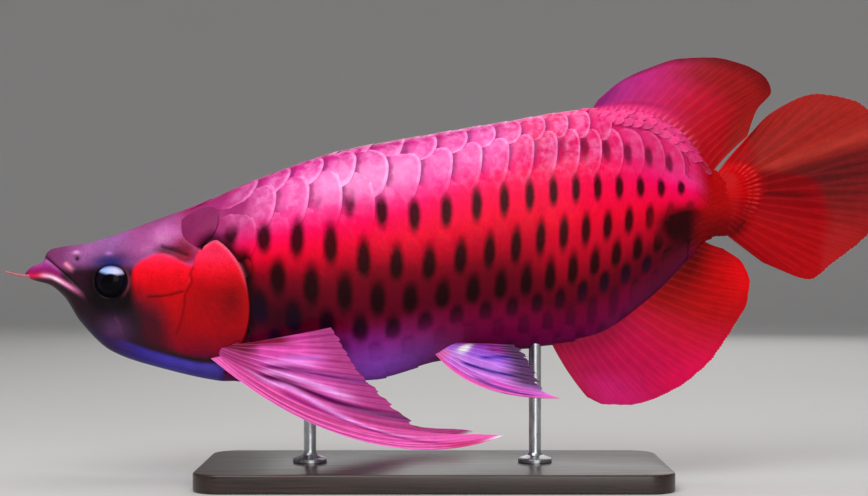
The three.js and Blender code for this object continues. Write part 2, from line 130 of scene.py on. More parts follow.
def unit(vectors):
    """The vectors, each with a length of 1."""
    return vectors / np.maximum(np.linalg.norm(vectors, axis=-1, keepdims=True), 1e-9)


def outward(x, angle):
    """The direction straight out of the body's surface."""
    along = section(x + 1, angle) - section(x - 1, angle)
    around = section(x, angle + 0.03) - section(x, angle - 0.03)
    return unit(np.cross(along, around))


class Girth:
    """Turns a share of the way round the body, from back to keel, into an angle."""

    def __init__(self):
        self.x = np.linspace(0.5, BODY_LENGTH - 0.5, 240)
        self.angles = np.linspace(0, np.pi, 240)
        points = section(self.x[:, None], self.angles[None, :])
        steps = np.linalg.norm(np.diff(points, axis=1), axis=-1)
        walked = np.concatenate([np.zeros((len(self.x), 1)), np.cumsum(steps, axis=1)], axis=1)
        self.half = walked[:, -1]
        self.shares = np.linspace(0, 1, 121)
        self.table = np.stack([np.interp(self.shares, w / w[-1], self.angles) for w in walked])
        self.inverse = walked / self.half[:, None]

    def _at(self, table, i, across):
        j = np.clip(across.astype(int), 0, table.shape[1] - 2)
        f = across - j
        return table[i, j] * (1 - f) + table[i, j + 1] * f

    def _blend(self, table, x, across):
        rows = np.clip((x - self.x[0]) / (self.x[1] - self.x[0]), 0, len(self.x) - 1.001)
        i = rows.astype(int)
        f = rows - i
        return self._at(table, i, across) * (1 - f) + self._at(table, i + 1, across) * f

    def angle(self, x, share):
        share = (share + 1) % 2 - 1
        return np.sign(share) * self._blend(self.table, x, np.abs(share) * (len(self.shares) - 1))

    def share(self, x, angle):
        return self._blend(self.inverse, x, np.abs(angle) / np.pi * (len(self.angles) - 1))

    def length(self, x):
        return np.interp(x, self.x, self.half)


GIRTH = Girth()


def smooth_path(points, closed=False, steps=7):
    """Points close together on a smooth line through the given ones."""
    p = np.array(points, float)
    if closed:
        ring = np.vstack([p[-1], p, p[0], p[1]])
    else:
        ring = np.vstack([2 * p[0] - p[1], p, 2 * p[-1] - p[-2]])
    t = np.linspace(0, 1, steps, endpoint=False)[:, None]
    stretches = [
        b + ((c - a) * t + (2 * a - 5 * b + 4 * c - d) * t**2 + (3 * b - a - 3 * c + d) * t**3) / 2
        for a, b, c, d in zip(ring, ring[1:], ring[2:], ring[3:])
    ]
    return np.vstack([*stretches, p[:1] if closed else p[-1:]])


class Line:
    """A line or a closed outline on the side view, as points (x, z)."""

    def __init__(self, *points, closed=False):
        self.path = smooth_path(points, closed)

    def away(self, x, z):
        """The distance from each place to the line."""
        best = np.full(np.shape(x), 1e9)
        for (ax, az), (bx, bz) in zip(self.path, self.path[1:]):
            dx, dz = bx - ax, bz - az
            t = np.clip(((x - ax) * dx + (z - az) * dz) / (dx * dx + dz * dz + 1e-12), 0, 1)
            best = np.minimum(best, (x - ax - t * dx) ** 2 + (z - az - t * dz) ** 2)
        return np.sqrt(best)

    def depth(self, x, z):
        """How far inside a closed outline each place is, negative outside it."""
        inside = np.zeros(np.shape(x), bool)
        for (ax, az), (bx, bz) in zip(self.path, self.path[1:]):
            crosses = (az > z) != (bz > z)
            inside ^= crosses & (x < (bx - ax) * (z - az) / (bz - az + 1e-12) + ax)
        return np.where(inside, 1, -1) * self.away(x, z)

    def height(self, x):
        """z on the line at x, for a line that runs from front to rear."""
        return np.interp(x, self.path[:, 0], self.path[:, 1])

    def ridge(self, x, z, half_width):
        """1 on the line and less beside it."""
        return np.exp(-((self.away(x, z) / half_width) ** 2))

    def fill(self, x, z, soft):
        """1 inside a closed outline and 0 outside, softened across its edge."""
        return ease(-soft, soft, self.depth(x, z))


def ease(start, end, value):
    """0 before start, 1 after end, and smooth between them."""
    t = np.clip((value - start) / (end - start), 0, 1)
    return t * t * (3 - 2 * t)


def hump(value, middle, half_width):
    """1 at the middle and less on both sides."""
    return np.exp(-(((value - middle) / half_width) ** 2))


def spot(x, z, cx, cz, rx, rz=None):
    """1 at the middle of a soft spot, falling off over rx and rz."""
    return np.exp(-(((x - cx) / rx) ** 2) - ((z - cz) / (rz or rx)) ** 2)


EYE = {"x": 59.4, "y": 13.3, "z": -4.2, "radius": 10.8, "depth": 7.4}
GAPE = Line(
    (13.2, 10.5), (16.2, 9.8), (23.8, 3.8), (29.5, -0.6), (38, -8), (49.8, -19.6), (58.2, -29.3),
    (62.7, -38.2),
)
UPPER_LIP = Line((20, 9), (28, 2), (38, -5), (48, -12.5), (57, -21), (64, -30), (65.5, -38), (61, -44))
LOWER_LIP = Line(
    (3, -1.2), (12, -0.8), (18, -1.2), (22.3, -2.6), (26.5, -4.7), (31, -7.2), (36, -10.1), (42.4, -14.4),
    (52, -23),
)
CHEEK_UPPER = Line(
    (75.9, 5.2), (82.7, 10.3), (91.1, 13), (99.9, 11), (106.4, 7.5), (112.8, 5.7), (111.7, 0), (108.5, -10.5),
    (106.4, -10.4), (84.1, -13.9), (75.9, -12.7), (74.8, -4.3), closed=True,
)
CHEEK_LOWER = Line(
    (76.5, -13.8), (84.1, -14.6), (106.4, -11.2), (107.8, -11.5), (107.3, -21), (105.5, -29.4),
    (102.3, -37.8), (100, -47), (86, -43), (88, -34), (81.8, -25.3), closed=True,
)
CHEEK_CREASE = Line((84.1, -14.2), (95, -13.4), (106.4, -10.8))
ROOF_EDGE = Line(
    (62, 9.5), (70.9, 9.4), (80, 11.5), (87, 15.5), (92.7, 17.9), (101.7, 15.2), (109, 12.6), (118, 14.5),
)
ROOF_SLIT = Line((92.7, 17.9), (101.7, 15.2), (109, 12.6))
GILL_REAR = (
    (120, 18), (126.5, 22), (131.6, 20.1), (139.8, 11.8), (146.2, -0.2), (149.3, -16), (148.7, -30),
    (144.3, -43.3), (135.4, -52.1), (117.7, -52.8), (101, -49.5),
)
GILL_COVER = Line(
    (113.3, 4.2), (115, 12), *GILL_REAR, (102.3, -37.8), (105.5, -29.4), (107.5, -21), (108.6, -11.6),
    (112.6, -4.5), (111.7, 0), closed=True,
)
GILL_EDGE = Line(*GILL_REAR)
GILL_FRONT = Line(
    (113.3, 4.2), (111.7, 0), (112.6, -4.5), (108.6, -11.6), (107.5, -21), (105.5, -29.4), (102.3, -37.8),
)
WHISKERS = {
    "left": [(6, -4, -1.3), (-0.2, -6, -1), (-7.3, -6.6, 0.5), (-12.5, -7, 2.5)],
    "right": [(5, 3.6, -1.3), (-3.1, 6, -1.2), (-8.2, 6.4, -0.3), (-12.9, 6.9, 1.1)],
}
NOSE_FLAP = Line((29.4, 6.3), (32.3, 4.1), (34.8, 2.5))
RED_FACE = Line(
    (74.5, 4), (82.7, 10.6), (91.1, 13.4), (99.9, 11.4), (106.4, 8), (112.8, 6), (116, 13), *GILL_REAR,
    (84.9, -45), (80, -38), (80, -28), (76, -20), (74, -8), closed=True,
)
THROAT_LINE = Line((40, -25), (52, -38), (67.1, -42.5), (84.9, -49), (101, -53.5), (117.7, -57), (135.4, -57))
HEAD = Line(
    (-30, 90), (98, 72), (100, 48), (104, 36), (108, 24), (118, 16), *GILL_REAR[:9], (131, -66), (128, -85),
    (-30, -90), closed=True,
)

# The scales lie in rows along the body. A column number runs along a row, one scale to the next, and
# stands for the middle of a scale, where its dark spot is. A row is a curve of the share of the way
# round, and row numbers run from the back down: -1 is the back ridge and 7 the keel.
COLUMN_X = Curve((-3, 86), (0, 148.9), (4, 233), (7, 293.1), (9, 326.7), (12, 370.5), (17, 438.7), (20, 475))
ROWS = [
    Curve((0, 0), (500, 0.0001)),
    Curve((100, 0.015), (205, 0.03), (232, 0.08), (250, 0.113), (318, 0.11), (365, 0.102), (470, 0.1)),
    Curve(
        (100, 0.07), (149, 0.085), (177, 0.094), (200, 0.108), (219, 0.13), (242, 0.19), (261, 0.202),
        (298, 0.187), (332, 0.186), (362, 0.202), (376, 0.213), (392, 0.236), (406, 0.255), (421, 0.283),
        (445, 0.31),
    ),
    Curve(
        (100, 0.17), (149, 0.197), (170, 0.196), (191, 0.214), (212, 0.268), (233, 0.335), (253, 0.378),
        (273, 0.392), (293, 0.385), (370, 0.373), (384, 0.378), (399, 0.396), (412, 0.411), (470, 0.4),
    ),
    Curve(
        (100, 0.27), (140, 0.285), (161, 0.359), (184, 0.39), (204, 0.442), (221, 0.507), (241, 0.542),
        (262, 0.579), (282, 0.576), (318, 0.56), (334, 0.538), (361, 0.531), (390, 0.532), (404, 0.547),
        (418, 0.562), (445, 0.57),
    ),
    Curve(
        (100, 0.4), (150, 0.46), (171, 0.523), (193, 0.581), (210, 0.615), (229, 0.649), (248, 0.676),
        (268, 0.704), (326, 0.708), (340, 0.704), (354, 0.691), (369, 0.676), (384, 0.661), (398, 0.685),
        (412, 0.699), (445, 0.72),
    ),
    Curve(
        (100, 0.55), (150, 0.6), (176, 0.67), (210, 0.74), (260, 0.79), (346, 0.79), (376, 0.751),
        (392, 0.761), (440, 0.83),
    ),
    Curve(
        (100, 0.7), (150, 0.73), (176, 0.79), (230, 0.85), (346, 0.87), (376, 0.85), (400, 0.86),
        (440, 0.92),
    ),
    Curve((0, 1), (500, 1.0001)),
]
ROW_STARTS = [0.9, 0.4, 0.0, 0.45, 0.87, 0.33, 0.8]
# Each row starts about this much of a column before the one above it. The slips are the differences.
ROW_SHIFT = 0.52
ROW_SLIPS = Curve((0, 0), (1, 0.02), (2, 0.14), (3, 0.11), (4, 0.05), (5, 0.03), (6, 0.02))
ROW_ENDS = [376, 424, 436, 440, 432, 416, 392]


def row_share(row, x):
    """The share of the way round at a row number, which may lie between rows or past the ridge or keel."""
    turned = np.where(row < -1, -2 - row, np.where(row > 7, 14 - row, row))
    level = np.clip(turned + 1, 0, 7.999)
    low = level.astype(int)
    values = np.stack([curve(x) for curve in ROWS])
    picked = [np.take_along_axis(values, (low + k)[None], 0)[0] for k in (0, 1)]
    share = picked[0] + (picked[1] - picked[0]) * (level - low)
    return np.where(row < -1, -share, np.where(row > 7, 2 - share, share))


# Fins. A ray of a middle fin is (root x, root z, tip x, tip z). A ray of a paired fin is its root, the
# point that it bends towards and its tip, each (x, distance from the middle plane, z). "root", "edge",
# "lead" and "flare" are thicknesses, of the rays at root and tip, of the first ray and of a fin that
# takes up the end of the tail stalk. "flat" is how thick the skin between two rays is beside them.

MIDDLE_FINS = {
    "dorsal_fin": {
        "rays": [
            (368.6, 106.6, 373.1, 113.8), (376.4, 106.3, 388.1, 126.1), (385.5, 106, 406.3, 134.5),
            (395.9, 104.7, 427.1, 140.7), (406.3, 102.1, 446.6, 141.4), (416.7, 97.5, 466.1, 137.8),
            (426.4, 91, 483.5, 128.6), (434.9, 82.6, 487.4, 119.6), (441.4, 74.8, 477.6, 107.2),
            (447.6, 66.4, 471, 90),
        ],
        "count": 20, "flat": 0.86, "cut": 0.004, "bow": 0.05, "root": 2.4, "edge": 0.5, "wave": 1.6,
        "waves": 1.5,
    },
    "anal_fin": {
        "rays": [
            (343.2, -46.8, 366, -80.6), (351.7, -45.5, 378.3, -85.5), (362.8, -43.9, 394.6, -85.8),
            (373.8, -40.9, 412.8, -80.6), (384.8, -33.8, 431, -70.6), (395.9, -25.3, 447.8, -55.4),
            (407.6, -16.6, 461.2, -36), (418.6, -6.5, 471.5, -18.6), (428.4, 3.9, 473.4, -5.2),
            (436.2, 13.7, 468, 7.6), (442, 21.5, 455, 16.6),
        ],
        "count": 27, "flat": 0.86, "cut": 0.012, "bow": -0.06, "root": 2.4, "edge": 0.5, "wave": 2,
        "waves": 1.5,
    },
    "tail_fin": {
        "rays": [
            (452.4, 68.2, 474, 92.5), (456.4, 66.8, 488.5, 106.5), (460.9, 64.3, 518.1, 118.6),
            (463.5, 61.1, 547, 112.4), (464.8, 57.2, 563.4, 89), (465.4, 52.7, FISH_LENGTH, 61.1),
            (464.8, 48.1, 561.6, 37.7), (463.5, 42.9, 546.7, 20.8), (461.5, 37.7, 529.8, 7.8),
            (458.9, 32.5, 512.9, -3.9), (456, 26.5, 482, 7),
        ],
        "count": 19, "flat": 0.84, "cut": 0.008, "bow": 0, "root": 2.6, "edge": 0.5, "wave": 3,
        "waves": 2.5, "flare": 11,
    },
}
PAIRED_FINS = {
    "pectoral_fin": {
        "rays": [
            ((135.3, 22, -61), (233, 62, -127), (307.3, 84, -96)),
            ((136.7, 23, -59.5), (214.2, 58, -116.7), (300.8, 82, -95.3)),
            ((138.1, 24, -56.9), (195.3, 52, -95.8), (267, 73, -95.6)),
            ((139.5, 25, -54.2), (188.7, 46, -77.8), (244, 66, -82)),
            ((140.9, 26, -51.6), (182.2, 43, -66.8), (231, 60, -70)),
            ((142.9, 27, -48.4), (175.8, 41, -56.3), (220, 55, -59.5)),
            ((144.9, 28, -45.2), (172.5, 39, -45.8), (211, 50, -46)),
            ((147.6, 29, -43.2), (169.3, 38, -39.6), (202.9, 45, -32.3)),
        ],
        "count": 12, "flat": 0.35, "cut": 0.022, "root": 3, "edge": 0.5, "lead": 1.8, "fold": -0.1,
        "length": 0.94, "spread": 0.8,
    },
    "pelvic_fin": {
        "rays": [
            ((270.4, 8, -54.7), (293.9, 22, -79.9), (345, 38, -77.5)),
            ((272.3, 9, -52.1), (295.2, 22, -70.4), (335.8, 35, -73.7)),
            ((274.9, 10, -50.1), (296.5, 22, -60.8), (331.5, 32, -66.4)),
            ((278.1, 11, -48.1), (298.4, 21, -53.2), (327.9, 29, -57.8)),
            ((282, 12, -46.1), (299.7, 20, -48.2), (323.7, 26, -50.4)),
            ((286.5, 13, -44.8), (300.4, 19, -43.8), (317.4, 23, -44.8)),
        ],
        "count": 9, "flat": 0.35, "cut": 0.04, "root": 2.2, "edge": 0.5, "lead": 1.2, "fold": -0.06,
        "length": 0.98, "spread": 1,
    },
}
# How far a fin's root runs on into the body, as a share of its length, and the thickness of its edge.
FIN_EMBED = 0.14
THIN_EDGE = 0.12


# Colours


def hue(code):
    """A colour's light values from its six-digit code."""
    level = np.array([int(code[i : i + 2], 16) for i in (0, 2, 4)]) / 255
    return np.where(level <= 0.04045, level / 12.92, ((level + 0.055) / 1.055) ** 2.4)


def paint(tint, colour, amount):
    """tint with this much of another colour laid over it, given by its code or its values."""
    over = hue(colour) if isinstance(colour, str) else colour
    return tint + (over - tint) * np.clip(amount, 0, 1)[..., None]


def layered(tint, *coats):
    """tint with colours laid over it in turn. A coat is its colour and how much of it there is."""
    for colour, amount in coats:
        tint = paint(tint, colour, amount)
    return tint


def gradient(value, *stops):
    """The colour at value, between stops (value, colour)."""
    at = [stop[0] for stop in stops]
    return np.stack([np.interp(value, at, [hue(stop[1])[i] for stop in stops]) for i in range(3)], -1)


# The skin's brightness under the scales, beside theirs: painted shade under the scales.
UNDER_SCALE_SHADE = 0.7

# Where pink has turned to red on the flank and where painted shade has turned the red dark, as shares of the
# way round.
REDDEST = Curve(
    (168, 0.34), (244, 0.345), (270, 0.33), (295, 0.295), (321, 0.265), (350, 0.25), (375, 0.26), (399, 0.33),
    (419, 0.4), (440, 0.44),
)
DIMMED = Curve(
    (160, 0.487), (194, 0.53), (219, 0.53), (244, 0.555), (270, 0.59), (310, 0.605), (330, 0.65),
    (350, 0.715), (375, 0.7), (419, 0.69),
)


def stalk_shade(x, z):
    """Where painted shade makes the flank black, low down before the tail stalk."""
    return np.clip(3 * spot(x, z, 430, 31.5, 15, 9.5), 0, 1)


def coat_tint(x, share, z):
    """The painted colour of the scaled body, before each scale's own marks."""
    share = np.abs((share + 1) % 2 - 1)
    red, dim = REDDEST(x), DIMMED(x)
    between = 1 + (share - red) / (dim - red)
    level = np.where(share < red, share / red, np.where(share < dim, between, 2 + (share - dim) / (1 - dim)))
    # Pink on the back and red on the flank, then painted shade makes the lower flank dark, turning violet at
    # the keel.
    ground = gradient(
        level, (0, "a8005e"), (0.24, "cf0082"), (0.42, "e54ca2"), (0.73, "f44ca4"), (0.85, "fb308b"),
        (1, "ff0064"), (1.15, "ff0050"), (1.35, "fd0040"), (1.5, "f4002e"), (1.65, "da002a"),
        (1.83, "b80022"), (2, "86001a"), (2.11, "6c0018"), (2.34, "5e001c"), (2.45, "74002c"),
        (2.6, "7a003c"), (3, "701050"),
    )
    belly = gradient(x, (200, "9c34b0"), (230, "a834b4"), (250, "982880"), (270, "84104c"), (290, "7c0640"))
    haze = gradient(x, (195, "a84cc8"), (225, "b05cf0"), (250, "8c4ab8"), (272, "782c6c"), (290, "6c0c40"))
    stalk = ease(430, 446, x)
    gap = ease(8, 1.5, GILL_EDGE.away(x, z)) * ease(-48, -30, z)
    return layered(
        ground,
        # The plates: pale in the middle of the back, partly with a painted highlight, deeper to the rear and
        # purple on the nape.
        ("f088c8", 0.8 * hump(share, 0.205, 0.06) * ease(180, 200, x) * ease(264, 244, x)),
        ("f00064", 0.75 * ease(0.27, 0.2, share) * ease(300, 335, x) * ease(400, 380, x)),
        ("a83070", 0.75 * ease(178, 135, x) * ease(0.4, 0.25, share)),
        # The violet belly between the paired fins.
        (belly, 0.9 * ease(0.72, 0.86, share) * ease(185, 205, x) * ease(300, 275, x)),
        (haze, 0.9 * ease(0.8, 0.93, share) * ease(180, 200, x) * ease(310, 285, x)),
        # Below the dorsal fin, then painted shade behind the gill cover, before the tail stalk and low on the
        # flank beside the anal fin.
        ("ec1464", 0.65 * ease(375, 405, x) * ease(0.42, 0.28, share)),
        ("c00034", 0.4 * ease(290, 345, x) * hump(share, 0.2, 0.1)),
        ("200110", 0.78 * spot(x, z, 168, -27, 26, 15)),
        ("140003", 0.97 * stalk_shade(x, z)),
        ("4a0410", 0.4 * ease(0.6, 0.8, share) * ease(385, 420, x)),
        # The red tail stalk with painted shade on its lower part, and the painted shadow behind the gill
        # cover.
        ("ae0004", stalk),
        ("6c0006", 0.85 * stalk * ease(46, 28, z)),
        ("140104", 0.94 * gap),
    )


def head_tint(x, z):
    """The painted colour of the bare head, jaws and throat."""
    roof = gradient(
        x, (0, "6a2450"), (14, "702e5c"), (26, "7c3468"), (42, "9c5896"), (58, "985c9c"), (78, "a44c8c"),
        (94, "b45ca0"), (107, "bc4890"), (118, "c4468c"),
    )
    snout = ease(9.5, 1, z + 0.3 * np.clip(36 - x, 0, 20)) * ease(70, 64, x)
    eye_x, eye_z, eye_radius = EYE["x"], EYE["z"], EYE["radius"]
    around = spot(x, z, eye_x, eye_z - 2, eye_radius + 4)
    tint = layered(
        roof,
        # The roof: its pale bones and its darker edge, painted shade over the lower snout and face, and
        # painted shade in the folds where the roof meets the cheek and the scales.
        ("d070b4", 0.6 * spot(x, z, 97, 26, 9, 5)),
        ("80305e", 0.7 * ease(12, 0, BACK(x) - z) * ease(60, 90, x)),
        ("331525", np.maximum(snout, ease(8, 0, z) * ease(50, 66, x))),
        ("d080b4", 0.55 * spot(x, z, 93, 23, 5, 3.5) + 0.4 * spot(x, z, 84, 16, 5, 2.5)),
        ("6a2c60", 0.5 * spot(x, z, 66, 12, 7, 2.5) + 0.4 * spot(x, z, 104, 31, 6, 4)),
        ("8a2444", 0.9 * np.clip(1.5 * spot(x, z, 110, 20, 9, 4.5), 0, 1)),
        ("5c142c", 0.92 * np.clip(1.6 * spot(x, z, 100.5, 15.2, 11, 3), 0, 1)),
        ("90182c", 0.92 * np.clip(1.6 * spot(x, z, 108, 11.5, 7, 4), 0, 1)),
        ("a42040", 0.9 * spot(x, z, 119, 12, 5, 5)),
        # Painted shade over the lower face, blackest round and under the eye.
        ("2b1720", ease(-4, -10, z)),
        ("0e080b", np.clip(1.7 * np.maximum(spot(x, z, 60, -14, 16, 13), around), 0, 0.98)),
        ("54305c", 0.9 * spot(x, z, 61, -36, 10, 8)),
    )
    # Where painted shade darkens the red face, low down at its front.
    dim = ease(-2, -26, z + 0.55 * (x - 82)) * ease(106, 88, x)
    red = gradient(
        z, (-52, "66042c"), (-46, "880420"), (-38, "9c0414"), (-33, "a8020e"), (-20, "b8040e"),
        (-10, "c60610"), (-4, "da0818"), (2, "ee0c20"), (7, "f81636"), (12, "f82a56"), (20, "f02850"),
    )
    cover = GILL_COVER.fill(x, z, 0.8)
    crease = np.maximum(CHEEK_CREASE.ridge(x, z, 0.9), 0.6 * GILL_FRONT.ridge(x, z, 1))
    throat = gradient(
        x, (30, "22161f"), (45, "2c1c33"), (60, "3c205c"), (78, "3c2c98"), (95, "4a3cbc"), (130, "5444b4"),
    )
    throat = paint(throat, "1c1240", 0.5 * ease(9, 1, z - BELLY(x)))
    tint = layered(
        tint,
        # The red cheek and gill cover, with painted shade low at the front, in two places on the cover, in
        # the creases and in the roof's slit, and a painted highlight along the cover's rim that fades
        # downward.
        (paint(red, "3c1020", 0.93 * dim), RED_FACE.fill(x, z, 1.4 + 3 * dim)),
        ("840008", 0.5 * cover * spot(x, z, 120, -14, 14, 14)),
        ("6c0008", 0.8 * cover * spot(x, z, 138, -16, 11, 14)),
        ("fa1c3c", 0.35 * cover * spot(x, z, 128, 8, 9, 8)),
        ("f4708c", 0.65 * (GILL_EDGE.ridge(x, z, 1.5) * ease(-14, 12, z))),
        ("4c0208", 0.8 * crease),
        ("3a1226", 0.85 * ROOF_SLIT.ridge(x, z, 1.1)),
        # The blue throat, and the blue over the eye with a small painted highlight.
        (throat, ease(1.5, -1.5, z - THROAT_LINE.height(x)) * ease(30, 46, x)),
        ("24286c", spot(x, z, eye_x - 1, eye_z + 12.8, 11, 3.4)),
        ("c47cd4", 0.7 * spot(x, z, 57.6, 13.6, 2.4, 0.9)),
    )
    over_lip = z - LOWER_LIP.height(x)
    chin = ease(0.4, -0.6, z - GAPE.height(x)) * ease(-0.8, 0.6, over_lip) * ease(29, 22, x)
    bright = LOWER_LIP.ridge(x, z, 1.5)
    jaw_joint = Line((62.1, -27.8), (64.6, -32), (65.9, -36.8))
    ring = hump(np.hypot(x - eye_x, z - eye_z), eye_radius + 1.4, 1.1)
    return layered(
        tint,
        # The mouth: the dark gape, the purple tip of the lower jaw before it, paler at its top with a painted
        # highlight, and under both the lip, red at the front, with a painted pink-white highlight along it.
        ("1a0c12", GAPE.ridge(x, z, 1.2) * ease(42, 26, x)),
        (gradient(over_lip, (0, "a01040"), (2, "8c185a"), (5, "9c2474"), (9, "a8549c")), chin),
        ("e01048", bright * ease(20, 12, x) * ease(0, 6, x)),
        ("ff80c0", bright * ease(44, 28, x) * ease(10, 17, x)),
        ("fff0f8", LOWER_LIP.ridge(x, z, 0.9) * hump(x, 22, 7)),
        ("5c3048", 0.7 * jaw_joint.ridge(x, z, 0.8)),
        # The rear of the eye's rim, the nostril with painted shade in its pit, and beside it the flap and the
        # bump, both pale with a painted highlight.
        ("7a3040", 0.7 * ring * ease(5, 10, x - eye_x) * ease(14, 2, abs(z - eye_z))),
        ("160a14", spot(x, z, 36.4, 10.2, 1.6)),
        ("ff90b0", 0.8 * NOSE_FLAP.ridge(x, z, 1.4) * ease(36, 31, x)),
        ("e49ad0", 0.8 * spot(x, z, 35.6, 13.9, 2.2, 1.2)),
    )


def scaled(x, z, soft):
    """1 on the scaled body and 0 on the bare head. The border is blurred over the nape and the throat."""
    return 1 - HEAD.fill(x, z, soft + 4 * ease(16, 30, z) + 4 * ease(-52, -58, z))


def skin_tint(x, z, share):
    """The painted colour of the whole skin. Under the scales painted shade makes it darker than they are."""
    return paint(head_tint(x, z), UNDER_SCALE_SHADE * coat_tint(x, share, z), scaled(x, z, 0.9))


def skin_relief(x, z, flank, inset):
    """How far the skin stands over the drawn body. Its side markings fade out where it faces up or down."""
    coat = scaled(x, z, 0.8)
    relief = 0.75 * GILL_COVER.fill(x, z, 0.6)
    relief += 0.3 * GILL_EDGE.ridge(x, z, 1.6) * (1 - coat)
    relief -= 1.3 * ease(7, 1, GILL_EDGE.away(x, z)) * coat * ease(-50, -36, z)
    relief += 0.4 * CHEEK_UPPER.fill(x, z, 0.8) + 0.35 * CHEEK_LOWER.fill(x, z, 0.8)
    relief -= 0.45 * CHEEK_CREASE.ridge(x, z, 0.9)
    turn = np.arctan2(z - 4, x - 108)
    relief += 0.09 * np.sin(46 * turn) * GILL_COVER.fill(x, z, 6) * ease(8, 30, np.hypot(x - 108, z - 4))
    relief += 0.5 * ease(-1, 1.2, z - ROOF_EDGE.height(x)) * ease(60, 70, x) * (1 - coat)
    relief -= 0.7 * ROOF_SLIT.ridge(x, z, 1.1)
    relief -= 1.4 * GAPE.ridge(x, z, 1.0) * ease(46, 28, x)
    relief += 0.9 * LOWER_LIP.ridge(x, z, 1.7) * ease(50, 34, x)
    relief += 0.3 * UPPER_LIP.ridge(x, z, 2.4) * ease(62, 44, x)
    r = np.hypot(x - EYE["x"], z - EYE["z"])
    relief -= 3.6 * ease(EYE["radius"] + 0.5, EYE["radius"] - 0.9, r)
    relief += 0.15 * hump(r, EYE["radius"] + 1.6, 1.5)
    relief -= 1.3 * spot(x, z, 36.4, 10.2, 1.3)
    relief += 0.8 * NOSE_FLAP.ridge(x, z, 1.3) + 0.7 * spot(x, z, 35.6, 13.9, 2, 1.2)
    for lift in (6, 12, 18):
        fold = z - THROAT_LINE.height(x) + lift
        relief -= 0.35 * np.exp(-((fold / 0.9) ** 2)) * ease(52, 66, x) * ease(128, 112, x)
    return relief * flank - inset * coat * ease(464, 456, x)


# Meshes


def place(points):
    """Fish points, in millimetres, as model points, in metres."""
    return (np.asarray(points) + JAW_TIP) / 1000


def grid_mesh(name, columns, rows, point):
    """A sheet from a grid of faces. point turns arrays across (0 to 1) and along (0 to 1) into places."""
    bm = bmesh.new()
    bmesh.ops.create_grid(bm, x_segments=columns, y_segments=rows, size=0.5)
    mesh = mesh_from(bm, name)
    at = coordinates(mesh)
    across, along = at[:, 0] + 0.5, at[:, 1] + 0.5
    set_coordinates(mesh, point(across, along))
    return mesh, across, along


def mesh_from(bm, name):
    """The mesh that bm holds. bm is freed."""
    mesh = bpy.data.meshes.new(name)
    bm.to_mesh(mesh)
    bm.free()
    return mesh


def close_up(mesh, distance):
    """Joins a rolled sheet along its seam, fills its ends and turns its faces outward."""
    bm = bmesh.new()
    bm.from_mesh(mesh)
    bmesh.ops.remove_doubles(bm, verts=bm.verts, dist=distance)
    bmesh.ops.holes_fill(bm, edges=[edge for edge in bm.edges if edge.is_boundary], sides=0)
    bmesh.ops.recalc_face_normals(bm, faces=bm.faces)
    bm.to_mesh(mesh)
    bm.free()


def full_turn(bm, steps):
    """Turns all of bm round the upright axis into one closed shell."""
    bmesh.ops.spin(
        bm, geom=bm.verts[:] + bm.edges[:], cent=(0, 0, 0), axis=(0, 0, 1), dvec=(0, 0, 0),
        angle=2 * math.pi, steps=steps, use_merge=True,
    )
    bmesh.ops.remove_doubles(bm, verts=bm.verts, dist=1e-6)
    bmesh.ops.recalc_face_normals(bm, faces=bm.faces)


def coordinates(mesh):
    at = np.empty(len(mesh.vertices) * 3, np.float32)
    mesh.vertices.foreach_get("co", at)
    return at.reshape(-1, 3).astype(float)


def set_coordinates(mesh, points):
    mesh.vertices.foreach_set("co", np.asarray(points, np.float32).ravel())
    mesh.update()


def add_number(mesh, name, values):
    layer = mesh.attributes.new(name, "FLOAT", "POINT")
    layer.data.foreach_set("value", np.asarray(values, np.float32).ravel())


def add_tint(mesh, tint):
    colours = np.concatenate([np.clip(tint, 0, 1), np.ones((len(tint), 1))], -1)
    layer = mesh.color_attributes.new("tint", "FLOAT_COLOR", "POINT")
    layer.data.foreach_set("color", colours.astype(np.float32).ravel())


def add_map(mesh, name, places):
    layer = mesh.uv_layers.get(name) or mesh.uv_layers.new(name=name, do_init=False)
    layer.uv.foreach_set("vector", np.asarray(places, np.float32).ravel())


def corner_vertices(mesh):
    vertex = np.empty(len(mesh.loops), np.int32)
    mesh.loops.foreach_get("vertex_index", vertex)
    return vertex


def finished(name, mesh, material, replaces=(), sharp=None):
    """The mesh as a piece of the model, riding on its body."""
    mesh.name = name
    mesh.shade_smooth()
    if sharp is not None:
        mesh.set_sharp_from_angle(angle=math.radians(sharp))
    mesh.materials.append(material)
    piece = bpy.data.objects.new(name, mesh)
    bpy.context.scene.collection.objects.link(piece)
    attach(piece, BODY)
    if replaces:
        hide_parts(*replaces)
    return piece


# Materials


